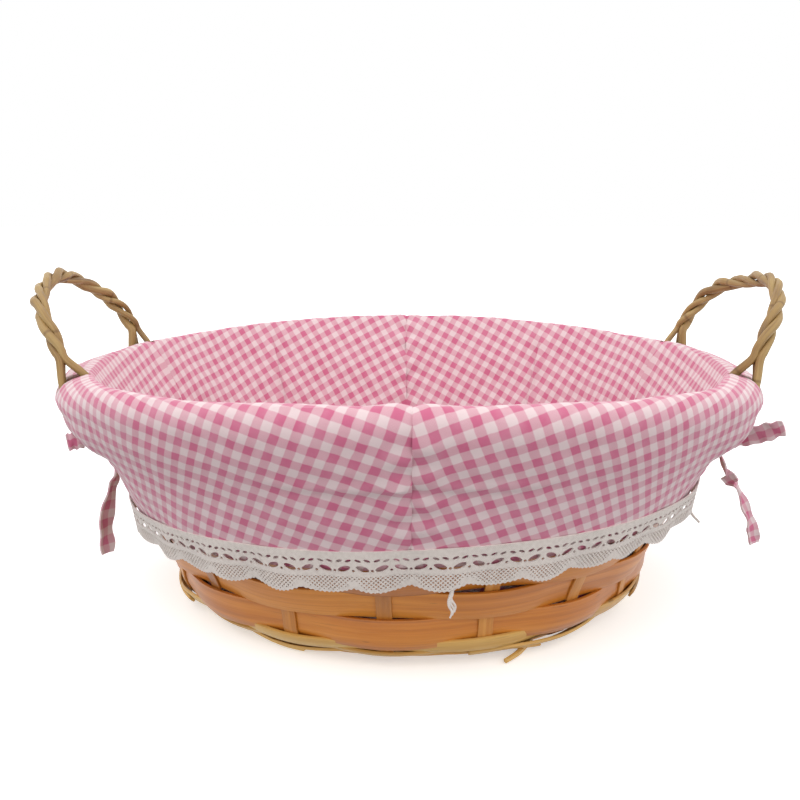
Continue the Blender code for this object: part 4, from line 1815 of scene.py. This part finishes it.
@dataclass
class Ties:
    """The ties under one ear: two come from the flaps' corners, meet in a knot, and hang in tails."""

    side: int
    label: str
    front: Sequence[Triple]
    back: Sequence[Triple]
    knot: Triple
    stub: Sequence[tuple[Triple, float]]
    tail: Sequence[tuple[Triple, float]]
    tail_turn: float
    width: float = 0.0075
    thickness: float = 0.0007
    steps: int = 60
    knot_size: Triple = (0.0032, 0.0037, 0.0036)

    def ribbon(
        self, name: str, points: Sequence[Triple], widths: Sequence[float], turns: Sequence[float]
    ) -> bpy.types.Object:
        """A ribbon through points in millimetres.

        Args:
            name: The piece's name.
            points: Points along its middle.
            widths: Its width at each point, as a share of the whole.
            turns: The direction of its width at each point: 0 upright, pi / 2 level.

        Returns:
            The new object.
        """
        route = route_of(points, self.steps)
        sizes = smooth_route([Vector((width, turn, 0)) for width, turn in zip(widths, turns)], self.steps)
        length = line_length(route)

        def place(along: float, across: float) -> Vector:
            """A point of the ribbon's middle sheet.

            Args:
                along: Share of the length.
                across: Share of the width.

            Returns:
                The point.
            """
            index = round(along * self.steps)
            tangent = (route[min(index + 1, self.steps)] - route[max(index - 1, 0)]).normalized()
            level = Vector((0, 0, 1)) if abs(tangent.z) < 0.8 else Vector((0, 1, 0))
            upright = (level - tangent * level.dot(tangent)).normalized()
            width, turn = sizes[index].x, sizes[index].y
            way = math.cos(turn) * upright + math.sin(turn) * tangent.cross(upright)
            cross = tangent.cross(way)
            from_middle = 2 * across - 1
            curl = 0.0006 * math.sin(along * 23 + self.side) * from_middle + 0.0007 * from_middle**2
            edge = 0.0003 * math.sin(along * 31 + 4 * across)
            return route[index] + way * ((across - 0.5) * self.width * width + edge) + cross * curl

        def pattern(along: float, across: float) -> tuple[float, float]:
            """Where the point lay in the flat cloth."""
            return along * length, across * self.width

        piece = bent_grid(name, self.steps, 8, place, pattern)
        thicken(piece, self.thickness)
        return piece

    def lump(self, name: str) -> bpy.types.Object:
        """The knot: a soft lump with the wraps of the cloth across it.

        Args:
            name: The piece's name.

        Returns:
            The new object.
        """
        wide, deep, tall = self.knot_size
        centre = Vector(self.knot) * MM
        deselect()
        bpy.ops.mesh.primitive_uv_sphere_add(segments=36, ring_count=24, radius=1.0, calc_uvs=True)
        piece = bpy.context.object
        piece.name = piece.data.name = name
        layer = piece.data.uv_layers.active.data
        for loop in piece.data.loops:
            mark = layer[loop.index].uv
            layer[loop.index].uv = (mark.x * 0.020, mark.y * 0.012)
        for vertex in piece.data.vertices:
            x, y, z = vertex.co
            fold = 1 + 0.10 * math.sin(5 * z + 3 * y) + 0.10 * ripple(x * 2, y * 2, z * 2 + self.side)
            waist = 1 - 0.22 * bell(y - 0.1, 0.25)
            vertex.co = centre + Vector((x * wide * fold, y * deep * fold, z * tall * fold * waist))
        return piece

    def build(self, cloth: bpy.types.Material) -> None:
        """Makes and dresses the ties.

        Args:
            cloth: Their finish.
        """
        count = len(self.front)
        narrow = [1.0 - 0.45 * index / (count - 1) for index in range(count)]
        parts = [self.ribbon("tie_root", self.front, narrow, [0.0] * count), self.lump("tie_knot")]
        stub = [point for point, _ in self.stub]
        parts.append(self.ribbon("tie_stub", stub, [width for _, width in self.stub], [0.15] * len(stub)))
        front = joined(parts, f"tie_knot_{self.label}")
        settle(front, cloth, Slot.GINGHAM, [f"tie_{self.label}_front"])
        count = len(self.back)
        narrow = [1.0 - 0.4 * index / (count - 1) for index in range(count)]
        back = self.ribbon(f"tie_link_{self.label}", self.back, narrow, [0.0] * count)
        settle(back, cloth, Slot.GINGHAM, [f"tie_{self.label}_back"])
        length = self.length(self.back)
        points = [point for point, _ in self.tail]
        turns = [self.tail_turn * index / (len(points) - 1) for index in range(len(points))]
        tail = self.ribbon(f"tie_end_{self.label}", points, [width for _, width in self.tail], turns)
        settle(tail, cloth, Slot.GINGHAM, [f"tie_{self.label}_tail"])
        length = self.length(points)

    def length(self, points: Sequence[Triple]) -> float:
        """The length of a line through points in millimetres, no shorter than 0.0101 m."""
        return max(line_length([Vector(point) * MM for point in points]), 0.0101)


@dataclass
class Threads:
    """Loose ends of sewing thread below the lace."""

    shape: LinerShape
    strands: int = 3
    right: Sequence[Triple] = (
        (110.5, -38, 44.0),
        (112.0, -37, 40.5),
        (114.0, -36, 36.8),
        (117.2, -35, 33.4),
    )

    def build(self, cotton: bpy.types.Material) -> None:
        """Makes and dresses the two ends.

        Args:
            cotton: Their finish.
        """
        radius = WALL.section(self.shape.hem_along(0) - 0.0155, 0.0055)[0]
        front = []
        for step in range(6):
            sway = 0.0125 + 0.0006 * math.sin(step * 1.9)
            front.append(Vector((sway, -radius - 0.0012 - 0.0003 * step, 0.0375 - 0.0019 * step)))
        strands = []
        for number in range(self.strands):
            shift = []
            for step, point in enumerate(front):
                spread = 0.0007 * number * step / 5
                shift.append(point + Vector((spread, 0.0003 * number, 0.0009 * number)))
            route = smooth_route(shift, 24)
            strands.append(
                tube_piece(f"end_{number}", route, lambda share: 0.00060 * (1.1 - 0.6 * share), 8, number)
            )
        settle(joined(strands, "thread_end_front"), cotton, Slot.LACE, ["thread_front"])
        piece = tube_piece("thread_end_right", route_of(self.right, 24), lambda share: 0.0005, 8, 0.5)
        settle(piece, cotton, Slot.LACE, ["thread_right"])


# The room


@dataclass
class Studio:
    """A pale floor, soft light, and the camera."""

    lens: float = 41.8
    camera_place: Triple = (-0.0035, -0.394, 0.152)
    camera_pitch: float = math.radians(79.2)
    light_above: float = 1.22
    light_below: float = 0.30
    light_turns: tuple[float, float] = (-0.6, 0.15)

    def camera(self) -> None:
        """Makes the camera."""
        data = bpy.data.cameras.new("view")
        data.lens = self.lens
        data.sensor_width = 36
        data.clip_start = 0.01
        camera = bpy.data.objects.new("view", data)
        camera.location = self.camera_place
        camera.rotation_euler = (self.camera_pitch, 0, 0)
        bpy.context.collection.objects.link(camera)
        bpy.context.scene.camera = camera

    def light(self, name: str, place: Triple, size: float, power: float) -> None:
        """Makes one soft light that looks at the basket.

        Args:
            name: Its name.
            place: Where it stands.
            size: Its diameter.
            power: Its strength, in watts.
        """
        data = bpy.data.lights.new(name, "AREA")
        data.shape = "DISK"
        data.size = size
        data.energy = power
        lamp = bpy.data.objects.new(name, data)
        lamp.location = place
        lamp.rotation_euler = (Vector((0, 0, 0.05)) - Vector(place)).to_track_quat("-Z", "Y").to_euler()
        bpy.context.collection.objects.link(lamp)

    def floor(self) -> None:
        """Makes the floor."""
        deselect()
        bpy.ops.mesh.primitive_grid_add(x_subdivisions=4, y_subdivisions=4, size=60.0)
        floor = bpy.context.object
        floor.name = floor.data.name = "floor"
        floor.visible_diffuse = False
        floor.data.materials.append(Paper().material())
        soften(floor)

    def world(self) -> None:
        """Makes the surrounding light: brighter from above, dim from below, and white where it shows."""
        world = bpy.data.worlds.new("studio")
        world.use_nodes = True
        nodes, links = world.node_tree.nodes, world.node_tree.links
        way = nodes.new("ShaderNodeTexCoord")
        parts = nodes.new("ShaderNodeSeparateXYZ")
        links.new(way.outputs["Generated"], parts.inputs[0])
        level = nodes.new("ShaderNodeMapRange")
        links.new(parts.outputs["Z"], level.inputs[0])
        settings = (*self.light_turns, self.light_below, self.light_above)
        for socket, value in zip(list(level.inputs)[1:5], settings):
            socket.default_value = value
        seen = nodes.new("ShaderNodeLightPath")
        mix = nodes.new("ShaderNodeMix")
        links.new(seen.outputs["Is Camera Ray"], mix.inputs["Factor"])
        links.new(level.outputs[0], mix.inputs[2])
        mix.inputs[3].default_value = 1.0
        links.new(mix.outputs[0], nodes["Background"].inputs["Strength"])
        nodes["Background"].inputs["Color"].default_value = (1, 1, 1, 1)
        bpy.context.scene.world = world

    def build(self) -> None:
        """Makes the floor, the lights and the camera."""
        self.camera()
        self.floor()
        self.light("key", (-0.45, -0.55, 1.25), 0.9, 3.5)
        self.light("fill", (0.9, -0.9, 0.6), 1.2, 1.5)
        self.world()
        bpy.context.scene.view_settings.view_transform = "Standard"


def right_ties() -> Ties:
    """The ties under the right ear."""
    return Ties(
        side=1,
        label="right",
        front=[(128.0, -21.0, 63.5), (129.5, -17.0, 62.5), (131.5, -13.0, 61.0), (133.0, -10.5, 60.2)],
        back=[(128.5, 20.0, 63.5), (131.0, 10.0, 62.0), (132.5, 0.0, 60.6), (133.2, -7.5, 60.2)],
        knot=(133.5, -10.0, 60.0),
        stub=[
            ((134.5, -11.0, 60.5), 0.5),
            ((140.0, -14.0, 63.0), 0.85),
            ((147.0, -20.0, 67.0), 1.0),
            ((152.5, -26.0, 70.5), 0.75),
        ],
        tail=[
            ((131.5, -10.5, 57.5), 0.55),
            ((134.0, -12.5, 49.0), 1.0),
            ((139.0, -13.5, 42.0), 0.7),
            ((143.5, -15.0, 32.0), 0.6),
            ((146.5, -15.0, 24.0), 0.75),
            ((148.0, -15.0, 17.5), 0.6),
        ],
        tail_turn=1.5,
    )


def left_ties() -> Ties:
    """The ties under the left ear."""
    return Ties(
        side=-1,
        label="left",
        front=[(-127.5, -21.0, 64.5), (-129.5, -17.0, 64.5), (-131.0, -13.0, 64.0), (-132.0, -10.5, 63.6)],
        back=[(-128.0, 20.0, 64.0), (-130.5, 10.0, 63.5), (-131.5, 0.0, 63.2), (-132.0, -7.0, 63.2)],
        knot=(-131.5, -9.5, 63.2),
        stub=[((-132.5, -11.0, 63.5), 0.7), ((-137.0, -13.5, 62.8), 1.0), ((-143.0, -15.0, 61.5), 0.9)],
        tail=[
            ((-126.5, -11.0, 57.0), 0.45),
            ((-124.5, -12.0, 48.0), 0.5),
            ((-127.0, -12.0, 40.0), 0.95),
            ((-130.0, -12.0, 26.0), 1.1),
            ((-130.0, -12.0, 12.0), 0.8),
        ],
        tail_turn=0.6,
    )


def main() -> None:
    """Builds the basket, a sub-assembly at a time."""
    logging.basicConfig(level=logging.INFO, format="%(name)s: %(message)s")
    Studio().build()
    Weave().build()
    willow = Willow().material()
    Ear(1, "right").build(willow)
    Ear(-1, "left").build(willow)
    shape = LinerShape()
    gingham = Gingham().material()
    cotton = Cotton().material()
    Liner(shape, Cut()).build(gingham)
    for label, middle in (("front", 0.0), ("back", math.pi)):
        Lace(label, middle, shape).build(cotton)
    for ties in (right_ties(), left_ties()):
        ties.build(gingham)
    Threads(shape).build(cotton)


if __name__ == "__main__":
    main()
